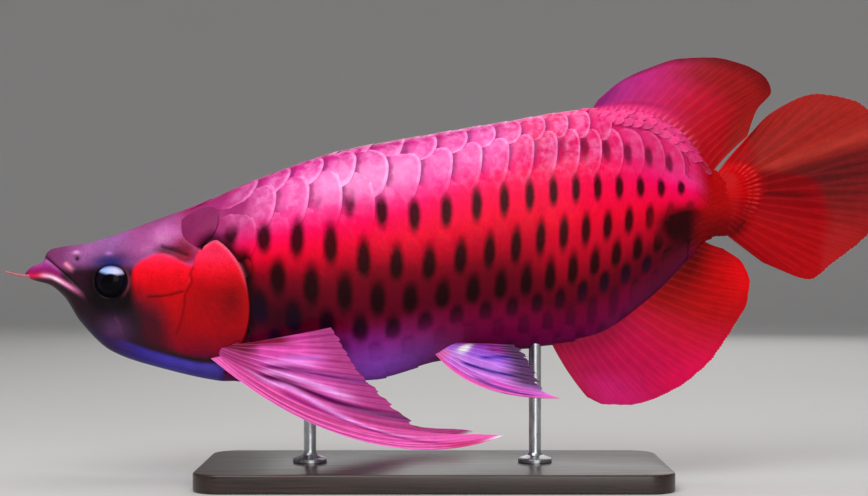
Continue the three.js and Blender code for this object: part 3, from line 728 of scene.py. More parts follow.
class Finish:
    """One material. Its methods add nodes and hand back their outputs."""

    def __init__(self, name, **constants):
        self.material = bpy.data.materials.new(name)
        self.material.use_nodes = True
        self.tree = self.material.node_tree
        self.shader = self.tree.nodes["Principled BSDF"]
        for socket, value in constants.items():
            self.shader.inputs[socket.replace("_", " ").title().replace("Ior", "IOR")].default_value = value

    def node(self, kind, inputs=(), **settings):
        made = self.tree.nodes.new("ShaderNode" + kind)
        for key, value in settings.items():
            setattr(made, key, value)
        for socket, value in dict(inputs).items():
            if isinstance(value, bpy.types.NodeSocket):
                self.tree.links.new(value, made.inputs[socket])
            else:
                made.inputs[socket].default_value = value
        return made

    def math(self, operation, *values, clamp=False):
        return self.node("Math", enumerate(values), operation=operation, use_clamp=clamp).outputs[0]

    def remap(self, value, low, high, to_low=0.0, to_high=1.0):
        inputs = {"Value": value, "From Min": low, "From Max": high, "To Min": to_low, "To Max": to_high}
        return self.node("MapRange", inputs, interpolation_type="SMOOTHSTEP").outputs["Result"]

    def mix(self, factor, first, second, blend="MIX"):
        made = self.node("Mix", data_type="RGBA", blend_type=blend)
        for socket, value in ((0, factor), (6, first), (7, second)):
            if isinstance(value, bpy.types.NodeSocket):
                self.tree.links.new(value, made.inputs[socket])
            else:
                made.inputs[socket].default_value = value if socket == 0 else (*value, 1)
        return made.outputs[2]

    def shaded(self, factor, colour, by):
        """colour, multiplied by another where factor is 1."""
        return self.mix(factor, colour, self.mix(1.0, colour, by, "MULTIPLY"))

    def number(self, name):
        return self.node("Attribute", attribute_name=name).outputs["Fac"]

    def colour(self, name):
        return self.node("Attribute", attribute_name=name).outputs["Color"]

    def map(self, name):
        split = self.node("SeparateXYZ", {0: self.node("UVMap", uv_map=name).outputs[0]})
        return split.outputs[0], split.outputs[1]

    def place(self, stretch=(1, 1, 1)):
        """Object coordinates in millimetres, stretched."""
        origin = self.node("TexCoord").outputs["Object"]
        return self.node("Mapping", {"Vector": origin, "Scale": tuple(1000 * s for s in stretch)}).outputs[0]

    def noise(self, size, detail=3, rough=0.55, stretch=(1, 1, 1)):
        """Noise whose blotches are about size millimetres wide."""
        inputs = {"Vector": self.place(stretch), "Scale": 1 / size, "Detail": detail, "Roughness": rough}
        return self.node("TexNoise", inputs).outputs["Fac"]

    def bump(self, height, millimetres, normal=None):
        inputs = {"Height": height, "Distance": millimetres / 1000, "Strength": 1.0}
        if normal is not None:
            inputs["Normal"] = normal
        return self.node("Bump", inputs).outputs[0]

    def done(self, **links):
        for socket, value in links.items():
            self.tree.links.new(value, self.shader.inputs[socket.replace("_", " ").title()])
        return self.material


def skin_finish():
    f = Finish("Wet head skin", specular_ior_level=0.06, coat_weight=0.06, coat_roughness=0.15)
    tint = f.colour("tint")
    blotch = f.noise(7, 4)
    fine = f.noise(1.1, 3)
    colour = f.shaded(f.remap(blotch, 0.35, 0.7, 0, 0.45), tint, (1.35, 1.25, 1.35))
    colour = f.shaded(f.remap(fine, 0.3, 0.55, 0.35, 0), colour, (0.5, 0.4, 0.5))
    pores = f.node("TexVoronoi", {"Vector": f.place(), "Scale": 1 / 1.5}, feature="F1").outputs["Distance"]
    relief = f.bump(pores, 0.05, f.bump(fine, 0.12, f.bump(blotch, 0.4)))
    return f.done(base_color=colour, roughness=f.remap(fine, 0.3, 0.7, 0.32, 0.5), normal=relief)


def scale_finish():
    f = Finish("Scale enamel", specular_ior_level=0.05, coat_weight=0.03, coat_roughness=0.15)
    u, v = f.map("Scale")
    u = f.math("MULTIPLY_ADD", u, 2.0, -1.0)
    v = f.math("MULTIPLY_ADD", v, 2.0, -1.0)
    wander = f.math("MULTIPLY_ADD", f.noise(4, 3), 0.3, -0.15)
    v2 = f.math("MULTIPLY", v, v)
    reach = f.math("SQRT", f.math("MULTIPLY_ADD", u, u, v2))
    tint, mark, plate = f.colour("tint"), f.number("mark"), f.number("plate")
    blotch, fine = f.noise(5, 4), f.noise(0.9, 3, stretch=(1, 1, 0.25))
    colour = f.shaded(f.remap(blotch, 0.3, 0.7, 0, 0.22), tint, (0.62, 0.5, 0.6))
    # Painted shade darkens a scale where it comes out from under the one before, and on plates this painted
    # shade is purple.
    lens = f.math("ADD", f.math("MULTIPLY_ADD", v2, 0.4, u), wander)
    front = f.remap(lens, 0.0, -0.24)
    deep = f.mix(1.0, colour, (0.45, 0.2, 0.35), "MULTIPLY")
    colour = f.mix(f.math("MULTIPLY", front, f.math("MULTIPLY_ADD", plate, 0.6, 0.12)), colour, deep)
    colour = f.mix(f.math("MULTIPLY", f.math("MULTIPLY", front, plate), 0.75), colour, hue("9c1c70"))
    # A painted highlight, pale pink and clouded, over the middle of each plate.
    cloud = f.remap(f.noise(5.5, 3), 0.35, 0.7)
    plate_highlight = f.math("MULTIPLY", f.math("MULTIPLY", f.remap(lens, -0.05, 0.3), cloud), plate)
    colour = f.mix(f.math("MULTIPLY", plate_highlight, 0.45), colour, hue("ff98dc"))
    # A painted highlight along the free edge of each scale, strongest on the plates.
    rim = f.math("MULTIPLY", f.remap(reach, 0.84, 0.95), f.remap(u, -0.3, 0.1))
    rim_highlight = f.mix(1.0, colour, (1.15, 1.9, 1.5), "MULTIPLY")
    colour = f.mix(f.math("MULTIPLY", rim, f.math("MULTIPLY_ADD", plate, 0.8, 0.07)), colour, rim_highlight)
    colour = f.mix(f.math("MULTIPLY", rim, f.math("MULTIPLY", plate, 0.3)), colour, hue("ff98d0"))
    # Below the plates each place of the lattice has a dark upright oval, and "lower" makes it larger
    # further down. A point may be in the oval of the row above it or of the row below.
    row, slot = f.number("row"), f.number("slot")
    above = f.math("FLOOR", row)
    ovals = []
    for line in (above, f.math("ADD", above, 1.0)):
        lower = f.math("MAXIMUM", f.math("MINIMUM", f.math("ADD", line, -2.0), 2.0), 0.0)
        centred = f.math("ADD", slot, 0.5 - ROW_STARTS[0])
        ahead = f.math("FRACT", f.math("MULTIPLY_ADD", line, ROW_SHIFT, centred))
        ahead = f.math("MULTIPLY_ADD", wander, 0.16, f.math("ADD", ahead, -0.5))
        down = f.math("MULTIPLY_ADD", wander, 0.3, f.math("SUBTRACT", row, line))
        wide = f.math("DIVIDE", ahead, f.math("MULTIPLY_ADD", lower, 0.03, 0.2))
        tall = f.math("DIVIDE", down, f.math("MULTIPLY_ADD", lower, 0.1, 0.35))
        oval = f.math("SQRT", f.math("MULTIPLY_ADD", wide, wide, f.math("MULTIPLY", tall, tall)))
        ovals.append(f.remap(oval, 1.35, 0.5))
    dark = f.math("MULTIPLY", f.math("MAXIMUM", *ovals), mark)
    low = f.remap(row, 4.2, 5.6)
    colour = f.mix(f.math("MULTIPLY", dark, 0.95), colour, f.mix(low, hue("180003"), hue("180420")))
    colour = f.shaded(f.remap(fine, 0.35, 0.65, 0.0, 0.16), colour, (0.6, 0.5, 0.55))
    rings = f.math("SINE", f.math("MULTIPLY", reach, 75.0))
    relief = f.bump(rings, 0.01, f.bump(fine, 0.08, f.bump(blotch, 0.35)))
    gloss = f.math("MULTIPLY_ADD", plate, 0.2, 0.03)
    return f.done(
        base_color=colour, roughness=f.remap(fine, 0.3, 0.7, 0.3, 0.48), normal=relief, coat_weight=gloss,
    )


def fin_finish(name, ray_colour, ray_share, gap_share):
    f = Finish(
        name, specular_ior_level=0.05, coat_weight=0.03, coat_roughness=0.2, subsurface_weight=0.12,
        subsurface_scale=0.002,
    )
    _, along = f.map("Fin")
    tint, ray = f.colour("tint"), f.number("ray")
    blotch, fine = f.noise(6, 3), f.noise(0.8, 2)
    joints = f.math("SINE", f.math("MULTIPLY", along, 420.0))
    colour = f.mix(f.math("MULTIPLY", ray, ray_share), tint, ray_colour)
    colour = f.shaded(f.remap(ray, 0.35, 0.0, 0, gap_share), colour, (0.45, 0.35, 0.4))
    colour = f.shaded(f.remap(blotch, 0.35, 0.7, 0.0, 0.3), colour, (0.65, 0.55, 0.6))
    lit = f.math("MULTIPLY", f.math("MULTIPLY_ADD", joints, 0.5, 0.5), ray)
    relief = f.bump(lit, 0.05, f.bump(fine, 0.08))
    return f.done(base_color=colour, roughness=f.remap(fine, 0.3, 0.7, 0.38, 0.55), normal=relief)


def eye_finish():
    f = Finish("Glass eye", roughness=0.16, specular_ior_level=0.03, coat_weight=0.02, coat_roughness=0.05)
    wide, high = f.map("Eye")
    wide = f.math("MULTIPLY_ADD", wide, 2.0, -1.0)
    high = f.math("MULTIPLY_ADD", high, 2.0, -1.0)
    reach = f.math("SQRT", f.math("MULTIPLY_ADD", wide, wide, f.math("MULTIPLY", high, high)))
    streak = f.noise(0.7, 3, stretch=(1, 1, 0.4))
    iris = f.mix(f.remap(streak, 0.35, 0.65), hue("0c0810"), hue("181220"))
    iris = f.mix(f.remap(high, 0.45, 0.85), iris, hue("1e2f74"))
    # A painted highlight: a curved silver-blue band near the top of the dark iris, bluer at its upper edge.
    bowed = f.math("MULTIPLY_ADD", f.math("MULTIPLY", wide, wide), 0.28, high)
    tilted = f.math("MULTIPLY_ADD", wide, 0.1, high)
    sagged = f.math("MULTIPLY_ADD", f.math("MULTIPLY", wide, wide), -0.2, tilted)
    crescent = f.math("MULTIPLY", f.remap(sagged, 0.28, 0.52), f.remap(bowed, 1.02, 0.84))
    silver = f.mix(f.remap(wide, -0.5, 0.5), hue("9cb8f0"), hue("d8d4f8"))
    silver = f.mix(f.remap(bowed, 0.7, 0.97), silver, hue("2c3c94"))
    colour = f.mix(f.math("MULTIPLY", crescent, 0.95), iris, silver)
    low = f.math("ADD", high, 0.14)
    pupil = f.math("SQRT", f.math("MULTIPLY_ADD", wide, wide, f.math("MULTIPLY", low, low)))
    colour = f.mix(f.remap(pupil, 0.62, 0.52), colour, (0.002, 0.002, 0.003))
    colour = f.mix(f.remap(reach, 0.9, 1.0), colour, (0.004, 0.003, 0.006))
    return f.done(base_color=colour)


def whisker_finish():
    f = Finish("Whisker skin", specular_ior_level=0.3, coat_weight=0.2, coat_roughness=0.2)
    fine = f.noise(0.8, 3)
    colour = f.mix(f.remap(fine, 0.3, 0.7), hue("a04c58"), hue("b86870"))
    return f.done(base_color=colour, roughness=f.remap(fine, 0.3, 0.7, 0.35, 0.5), normal=f.bump(fine, 0.1))


def wood_finish():
    f = Finish("Dark satin wood", specular_ior_level=0.4, coat_weight=0.35, coat_roughness=0.22)
    warp = f.noise(60, 2, stretch=(0.25, 1, 1))
    wavy = {"Vector": f.place((0.03, 1, 1)), "Scale": 1 / 1.4, "Detail": 5, "Distortion": 0.6}
    grain = f.node("TexNoise", wavy).outputs["Fac"]
    pores = f.noise(0.35, 2, stretch=(0.08, 1, 1))
    colour = f.mix(f.remap(grain, 0.3, 0.7), hue("17100d"), hue("3a2218"))
    colour = f.mix(f.remap(warp, 0.35, 0.65, 0.0, 0.6), colour, hue("251710"))
    colour = f.mix(f.remap(pores, 0.38, 0.3, 0.0, 0.6), colour, hue("0c0706"))
    relief = f.bump(pores, 0.05, f.bump(grain, 0.06))
    return f.done(base_color=colour, roughness=f.remap(grain, 0.3, 0.7, 0.35, 0.5), normal=relief)


def steel_finish():
    f = Finish("Brushed steel", metallic=1.0, specular_ior_level=0.5)
    brush = f.noise(0.3, 3, stretch=(1, 1, 0.03))
    wear = f.noise(9, 3)
    colour = f.mix(f.remap(brush, 0.3, 0.7), hue("a4a8ac"), hue("d0d3d6"))
    colour = f.mix(f.remap(wear, 0.4, 0.7, 0.0, 0.25), colour, hue("8f9194"))
    rough = f.math("ADD", f.remap(brush, 0.3, 0.7, 0.22, 0.34), f.remap(wear, 0.4, 0.7, 0.0, 0.08))
    return f.done(base_color=colour, roughness=rough, normal=f.bump(brush, 0.015))


def floor_finish(colour):
    f = Finish("Pale floor", specular_ior_level=0.2)
    cloud = f.noise(180, 3)
    fine = f.noise(2, 3)
    shade = f.mix(f.remap(cloud, 0.3, 0.7, 0.0, 0.08), colour, tuple(0.9 * c for c in colour))
    return f.done(base_color=shade, roughness=f.remap(fine, 0.3, 0.7, 0.6, 0.75), normal=f.bump(fine, 0.05))


# Settings


class ArowanaSettings(bpy.types.PropertyGroup):
    """Sizes and colours of the display model that a user may want to change."""

    coat_depth: FloatProperty(
        name="Coat depth", description="How far the bare skin lies under the scales", default=0.0012,
        min=0.0, unit="LENGTH",
    )
    scale_lift: FloatProperty(
        name="Scale lift", description="How far a scale's free edge stands over the drawn body",
        default=0.0006, unit="LENGTH",
    )
    scale_thickness: FloatProperty(
        name="Scale thickness", description="Thickness of a scale at its free edge", default=0.0009,
        min=0.0001, unit="LENGTH",
    )
    ray_steps: IntProperty(
        name="Steps per fin ray", description="Columns of faces from one fin ray to the next", default=8,
        min=4, max=16,
    )
    floor_colour: FloatVectorProperty(
        name="Floor colour", description="Colour of the studio floor", subtype="COLOR", size=3,
        default=(0.6, 0.59, 0.58), min=0, max=1,
    )
    key_power: FloatProperty(
        name="Key light", description="Strength of the large soft light over the fish", default=13.0,
        min=0.0, unit="POWER",
    )
    sky: FloatProperty(
        name="Sky light", description="Strength of the even light from all round", default=0.35, min=0.0,
    )
    lens: FloatProperty(
        name="Lens", description="Focal length of the camera", default=70.19, min=1.0,
        subtype="DISTANCE_CAMERA",
    )


# Pieces


class AROWANA_OT_stage(bpy.types.Operator):
    """Make the pale floor, the soft studio lights and the camera"""

    bl_idname = "arowana.stage"
    bl_label = "Stage"
    floor_radius, curve_radius, wall_height = 2.6, 1.2, 2.5

    def execute(self, context):
        settings = context.scene.arowana
        bm = bmesh.new()
        middle, edge = bm.verts.new((0, 0, 0)), bm.verts.new((self.floor_radius, 0, 0))
        bm.edges.new((middle, edge))
        spun = bmesh.ops.spin(
            bm, geom=[edge], cent=(self.floor_radius, 0, self.curve_radius), axis=(0, 1, 0), dvec=(0, 0, 0),
            angle=-math.pi / 2, steps=12,
        )
        wall = bmesh.ops.extrude_vert_indiv(bm, verts=[spun["geom_last"][0]])
        bmesh.ops.translate(bm, verts=wall["verts"], vec=(0, 0, self.wall_height))
        full_turn(bm, 64)
        mesh = mesh_from(bm, "floor")
        mesh.shade_smooth()
        mesh.materials.append(floor_finish(tuple(settings.floor_colour)))
        floor = bpy.data.objects.new("floor", mesh)
        context.scene.collection.objects.link(floor)

        world = bpy.data.worlds.new("Studio")
        world.use_nodes = True
        world.node_tree.nodes["Background"].inputs["Color"].default_value = (0.96, 0.97, 1, 1)
        world.node_tree.nodes["Background"].inputs["Strength"].default_value = settings.sky
        context.scene.world = world
        lights = [
            ("Key", (-0.35, -0.95, 1.25), 1.0, settings.key_power),
            ("Front fill", (0.3, -1.6, 0.45), 0.8, 0.7 * settings.key_power),
            ("Back fill", (0.3, 1.5, 0.9), 1.4, 0.5 * settings.key_power),
            ("Top", (0.05, 0.05, 1.5), 1.0, 0.55 * settings.key_power),
        ]
        for name, at, size, power in lights:
            lamp = bpy.data.lights.new(name, "AREA")
            lamp.size, lamp.energy = size, power
            stand = bpy.data.objects.new(name, lamp)
            stand.location = at
            stand.rotation_euler = (Vector((0, 0, 0.15)) - Vector(at)).to_track_quat("-Z", "Y").to_euler()
            context.scene.collection.objects.link(stand)

        view = bpy.data.cameras.new("Camera")
        view.lens, view.sensor_width, view.clip_start, view.clip_end = settings.lens, 36, 0.01, 20
        camera = bpy.data.objects.new("Camera", view)
        camera.location, camera.rotation_euler = (0, -1.1, 0.151), (math.pi / 2, 0, 0)
        context.scene.collection.objects.link(camera)
        context.scene.camera = camera
        context.scene.view_settings.view_transform = "Standard"
        return {"FINISHED"}


class AROWANA_OT_skin(bpy.types.Operator):
    """Make the one skin over the head, jaws, gill covers, trunk and tail stalk"""

    bl_idname = "arowana.skin"
    bl_label = "Skin"

    def execute(self, context):
        inset = 1000 * context.scene.arowana.coat_depth
        coarse = 1
        around, head, rest = 236 // coarse, 262 // coarse, 84 // coarse
        share_of_head = head / (head + rest)
        first_x, head_end, last_x = 0.15, 156, BODY_LENGTH - 0.2

        def point(across, along):
            ahead = np.clip(along / share_of_head, 0, 1)
            behind = np.clip((along - share_of_head) / (1 - share_of_head), 0, 1)
            x = first_x + (head_end - first_x) * ahead + (last_x - head_end) * behind
            turn = (2 * across - 1) * np.pi
            angle = turn + 0.25 * np.sin(2 * turn)
            at, out = section(x, angle), outward(x, angle)
            flank = ease(0.25, 0.6, np.abs(out[:, 1]))
            relief = skin_relief(at[:, 0], at[:, 2], flank, inset) * ease(0, 3, x)
            self.tint = skin_tint(at[:, 0], at[:, 2], GIRTH.share(x, angle))
            return place(at + out * relief[:, None])

        mesh, across, along = grid_mesh("skin", around, head + rest, point)
        add_tint(mesh, self.tint)
        vertex = corner_vertices(mesh)
        add_map(mesh, "OFBake", np.stack([along[vertex], across[vertex]], -1) * 0.98 + 0.01)
        close_up(mesh, 1e-7)
        flesh = ["head", "lower_jaw", "gill_cover_left", "gill_cover_right", "trunk", "tail_stalk"]
        finished("skin", mesh, skin_finish(), flesh)
        return {"FINISHED"}


def scale_template(columns, rows):
    """A round scale, from -1 to 1 along and across, with its top at 0 and its underside at -1."""
    bm = bmesh.new()
    bmesh.ops.create_grid(bm, x_segments=columns, y_segments=rows, size=1)
    for vertex in bm.verts:
        x, y = vertex.co.x, vertex.co.y
        vertex.co.x = x * math.sqrt(1 - 0.45 * y * y)
        vertex.co.y = y * math.sqrt(1 - 0.45 * x * x)
    rim = [edge for edge in bm.edges if edge.is_boundary]
    down = bmesh.ops.extrude_edge_only(bm, edges=rim)["geom"]
    bmesh.ops.translate(bm, verts=[g for g in down if isinstance(g, bmesh.types.BMVert)], vec=(0, 0, -1))
    bmesh.ops.edgeloop_fill(bm, edges=[edge for edge in bm.edges if edge.is_boundary])
    bmesh.ops.recalc_face_normals(bm, faces=bm.faces)
    return mesh_from(bm, "template")


def coat(name, template, scales):
    """One piece from many scales.

    A scale lies at its column and row, or where it is "free" at x and a share of the way round. "front" and
    "rear" are its height over the drawn body at its ends, and "dome" how far its middle swells.
    """
    shape = coordinates(template)
    vertex = corner_vertices(template)
    face = np.repeat(np.arange(len(template.polygons)), [p.loop_total for p in template.polygons])
    under = np.array([p.normal.z < -0.5 for p in template.polygons])[face]
    u, v, w = (shape[:, i][None, :] for i in range(3))
    value = {key: np.array([s[key] for s in scales], float)[:, None] for key in scales[0]}
    column, row = value["column"] + value["length"] * u, value["row"] + value["height"] * v
    on_rows = value["free"] < 0.5
    x = np.where(on_rows, COLUMN_X(column), value["x"] + value["length"] * u)
    free_share = value["share"] + value["height"] * v / GIRTH.length(x)
    share = value["side"] * np.where(on_rows, row_share(row, np.clip(x, 100, 470)), free_share)
    x = np.minimum(x, BODY_LENGTH - 1)
    share_down = np.abs((share + 1) % 2 - 1)
    angle = GIRTH.angle(x, share)
    at, out = section(x, angle), outward(x, angle)
    rise = (u + 1) / 2
    front, rear = value["front"], value["rear"]
    lift = front + (rear - front) * rise + value["dome"] * (1 - u * u) * (1 - v * v) - 0.5 * v**4
    lift = lift + w * (0.3 + (value["thick"] - 0.3) * rise)
    points = at + out * lift[..., None]
    bm = bmesh.new()
    for _ in scales:
        bm.from_mesh(template)
    mesh = mesh_from(bm, name)
    set_coordinates(mesh, place(points.reshape(-1, 3)))
    tint = coat_tint(x, share, at[..., 2])
    tint = paint(tint, "ff4c94", np.broadcast_to(value["pink"], x.shape))
    add_tint(mesh, (tint * value["shade"][..., None]).reshape(-1, 3))
    add_number(mesh, "row", row)
    add_number(mesh, "slot", column - ROW_SLIPS(row))
    hazed = (0.5 + 0.4 * ease(330, 280, x)) * ease(0.74, 0.87, share_down)
    flank_mark = ease(0.23, 0.31, share_down) * (1 - hazed) * (1 - stalk_shade(x, at[..., 2]))
    upper_mark = 0.75 * ease(330, 372, x) * ease(0.4, 0.6, row)
    add_number(mesh, "mark", value["mark"] * np.where(row < 1.5, upper_mark, flank_mark) * ease(444, 434, x))
    add_number(mesh, "plate", value["plate"] * ease(0.36, 0.2, share_down) * ease(90, 190, x))
    local = np.stack([u[0][vertex], v[0][vertex]], -1)
    add_map(mesh, "Scale", np.tile(local / 2 + 0.5, (len(scales), 1)))
    # Each scale has a patch of its own on the bake's map, in the order of their places on the body. Its
    # underside takes a little of the middle, and its edge a thin band round the top.
    top = local * np.where(w[0][vertex] < -0.5, 0.46, 0.43)[:, None]
    patch = np.where(under[:, None], local * 0.04 + 0.47, top)
    cells = math.ceil(math.sqrt(len(scales)))
    signed, by_x = (value["share"] * value["side"])[:, 0], np.argsort(value["x"][:, 0])
    corner = np.empty((len(scales), 2))
    for strip in range(cells):
        members = by_x[strip * cells : (strip + 1) * cells]
        members = members[np.argsort(signed[members])]
        corner[members] = np.stack([np.full(len(members), strip), np.arange(len(members))], -1) + 0.5
    add_map(mesh, "OFBake", ((corner[:, None, :] + patch[None]) / cells).reshape(-1, 2))
    return finished(name, mesh, bpy.data.materials["Scale enamel"], sharp=50)


def flank_scales(sign, rng, base):
    """The seven rows of one side, and the large scale on its shoulder."""
    scales = []
    for row, (start, end) in enumerate(zip(ROW_STARTS, ROW_ENDS)):
        for step in range(-3, 19):
            x = float(COLUMN_X(step + start))
            share = float(row_share(np.array([float(row)]), np.array([x]))[0])
            z = float(section(x, GIRTH.angle(np.array([x]), np.array([share])))[0, 2])
            by_shoulder, under_ridge = x < 137 and z < 46, row == 0 and x < 237
            on_head = HEAD.depth(np.array([x]), np.array([z]))[0] > -2
            if x > end or by_shoulder or under_ridge or on_head:
                continue
            plate = 1 - 0.75 * float(ease(340, 400, x))
            high = float(ease(0.33, 0.22, share)) * plate
            low = float(ease(0.6, 0.85, share))
            scales.append({
                **base, "column": step + start, "row": row, "x": x, "share": share, "side": sign, "mark": 1,
                "plate": plate, "shade": rng.uniform(0.95, 1.04), "dome": 0.1 + 0.45 * high,
                "front": -0.6 - 0.6 * high, "rear": base["rear"] * (0.3 + 0.7 * high) * (1 - 0.5 * low),
                "thick": base["thick"] * (0.35 + 0.65 * high) * (1 - 0.3 * low),
            })
    scales.append({
        **base, "free": 1, "x": 115.4, "share": 0.215, "side": sign, "length": 13.5, "height": 13.5,
        "front": -0.6, "rear": 1, "dome": 0.9, "shade": 0.52,
    })
    return scales


def ridge_and_keel_scales(base):
    """The single rows along the back and under the belly."""
    flat = {**base, "front": -0.8, "rear": 0.25 * base["rear"], "thick": 0.5 * base["thick"], "dome": 0.15}
    scales = []
    for step in range(-3, 13):
        column = step + 0.9
        x = float(COLUMN_X(column))
        ridge = {**flat, "row": -1, "x": x, "plate": 0.9}
        if 100 < x < 236:
            scales.append({**ridge, "column": column, "height": 1.9})
        elif 236 <= x < 366:
            scales.append({**ridge, "column": column - 0.5, "height": 0.95})
    for step in range(-1, 11):
        column = step + 0.3
        x = float(COLUMN_X(column))
        scales.append({**flat, "column": column, "row": 7, "x": x, "share": 1, "height": 1.0})
    return scales


def small_scales(rng, base):
    """Three rows of grains along each side of the dorsal fin's root, and the scales of the tail stalk."""
    scales = []
    for sign in SIDES.values():
        for level, (down, first) in enumerate([(2.6, 362), (7.6, 366), (12.8, 378)]):
            for x in np.arange(first + 3 * (level % 2), 446 - 4 * level, 6):
                scales.append({
                    **base, "free": 1, "x": x + rng.uniform(-0.5, 0.5), "side": sign,
                    "share": (down + rng.uniform(-0.6, 0.6)) / float(GIRTH.length(x)),
                    "length": 4.6, "height": 3.3, "front": -1.1, "rear": 1 + 0.4 * rng.random(), "dome": 1,
                    "thick": 0.9, "plate": 0.2, "pink": 0.6 * float(ease(446, 415, x)),
                    "shade": rng.uniform(0.75, 1.1),
                })
        for i, x in enumerate(np.arange(434, 463, 3.4)):
            girth = float(GIRTH.length(x))
            for down in np.arange(2.5 + 2.2 * (i % 2), girth - 2, 4.4):
                scales.append(
                    {
                        **base, "free": 1, "x": x, "share": down / girth, "side": sign, "length": 3,
                        "height": 2.7, "front": -0.5, "rear": 0.02 + 0.06 * rng.random(), "dome": 0.1,
                        "thick": 0.2, "shade": rng.uniform(0.92, 1.04),
                    }
                )
    return scales


class AROWANA_OT_scales(bpy.types.Operator):
    """Make the scales of both sides, the ridge of the back and the keel"""

    bl_idname = "arowana.scales"
    bl_label = "Scales"

    def execute(self, context):
        settings = context.scene.arowana
        scale_finish()
        rng = np.random.default_rng(4)
        base = dict(
            column=0, row=0, free=0, x=0, share=0, side=-1, length=0.8, height=0.86, front=-1.2, dome=0.25,
            rear=1000 * settings.scale_lift, thick=1000 * settings.scale_thickness, mark=0, plate=0,
            shade=1, pink=0,
        )
        large, small = scale_template(6, 9), scale_template(3, 4)
        for side, sign in SIDES.items():
            coat("scales_" + side, large, flank_scales(sign, rng, base))
        coat("scales_ridge_keel", large, ridge_and_keel_scales(base))
        coat("scales_small", small, small_scales(rng, base))
        for template in (large, small):
            bpy.data.meshes.remove(template)
        return {"FINISHED"}


class FinShape:
    """The middle surface of a fin: across runs from its first ray to its last, along from root to tip."""

    def __init__(self, rays, offset):
        rays = np.array(rays, float)
        steps = np.linspace(0, 1, len(rays))
        self.curves = [[Curve(*zip(steps, rays[:, stop, axis])) for axis in range(3)] for stop in range(3)]
        self.offset = offset

    def __call__(self, across, along):
        root, bend, tip = (np.stack([c(across) for c in stop], -1) for stop in self.curves)
        t = np.maximum(along, 0)[..., None]
        at = root * (1 - t) ** 2 + bend * 2 * t * (1 - t) + tip * t * t
        at = at + (bend - root) * 2 * np.minimum(along, 0)[..., None]
        at[..., 1] += self.offset(across, along, at[..., 0])
        return at


def ray_profile(across, along, count):
    """1 on a ray and 0 between rays. Rays fork towards their tips."""
    near = np.abs((across * (count - 1) + 0.5) % 1 - 0.5)
    fork = 0.23 * ease(0.35, 0.75, along)
    second = 0.11 * ease(0.65, 0.95, along)
    off = np.abs(np.abs(near - fork) - second)
    return np.exp(-((off / (0.15 - 0.08 * np.clip(along, 0, 1))) ** 2))


def fin_piece(name, shape, fin, tint_of, material, steps):
    """A fin as a closed sheet, thick along its rays and thin between them, and notched at its edge."""
    columns = (fin["count"] - 1) * steps
    rows = 56
    kept = {}

    def surface(across, along):
        ray = ray_profile(across, np.ones_like(across), fin["count"])
        ragged = 0.25 * np.sin(across * 61) + 0.2 * np.sin(across * 147)
        if "lead" in fin:
            step = across * (fin["count"] - 1) % 1
            notch = 1 - fin["cut"] * ease(0.1, 0.3, across) * (step + ragged)
        else:
            notch = 1 - fin["cut"] * (1.4 - ray + ragged)
        reach = -FIN_EMBED + along * (notch + FIN_EMBED)
        at = shape(across, reach)
        over = shape(np.minimum(across + 0.004, 1), reach) - shape(np.maximum(across - 0.004, 0), reach)
        out = unit(np.cross(over, shape(across, reach + 0.01) - shape(across, reach - 0.01)))
        ray = ray_profile(across, reach, fin["count"])
        even = ease(0.16, 0.03, reach)
        lead = fin.get("lead", 0) * np.clip(1 - 5 * across, 0, 1)
        full = fin["root"] + (fin["edge"] - fin["root"]) * np.clip(reach, 0, 1) ** 0.7
        full = full + lead * (1 - 0.3 * along)
        bulge = np.clip(np.sin(np.pi * across), 1e-6, 1) ** 0.3
        full = full + fin.get("flare", 0) * bulge * ease(0.17, 0, reach)
        ribbed = fin["flat"] + (1 - fin["flat"]) * (ray + (1 - ray) * even)
        thick = full * ribbed * ease(1.02, 0.97, along) + THIN_EDGE
        kept.update(ray=ray, tint=tint_of(across, np.clip(reach, 0, 1)), thick=thick, out=out)
        return at

    mesh, across, along = grid_mesh(name, columns, rows, surface)
    middle = coordinates(mesh)
    half = kept["out"] * kept["thick"][:, None] / 2
    add_tint(mesh, kept["tint"])
    add_number(mesh, "ray", kept["ray"])
    vertex = corner_vertices(mesh)
    add_map(mesh, "Fin", np.stack([across[vertex], along[vertex]], -1))
    bm = bmesh.new()
    bm.from_mesh(mesh)
    copy = bmesh.ops.duplicate(bm, geom=bm.verts[:] + bm.edges[:] + bm.faces[:])["geom"]
    bmesh.ops.reverse_faces(bm, faces=[g for g in copy if isinstance(g, bmesh.types.BMFace)])
    bmesh.ops.bridge_loops(bm, edges=[edge for edge in bm.edges if edge.is_boundary])
    bm.to_mesh(mesh)
    bm.free()
    set_coordinates(mesh, place(np.vstack([middle + half, middle - half])))
    bm = bmesh.new()
    bm.from_mesh(mesh)
    bmesh.ops.recalc_face_normals(bm, faces=bm.faces)
    bm.to_mesh(mesh)
    bm.free()
    return finished("fin_" + name.replace("_fin", ""), mesh, material, [name], sharp=60)


def add_strokes(tint, across, along, *strokes):
    """Paints strokes along a fin.

    A stroke is its colour, strength, half width, where it starts and ends along the fin, and the points
    (along, across) of its middle.
    """
    for colour, strength, half_width, start, end, *points in strokes:
        ends = ease(start - 0.06, start + 0.08, along) * ease(end + 0.06, end - 0.12, along)
        tint = paint(tint, colour, strength * (hump(across, Curve(*points)(along), half_width) * ends))
    return tint


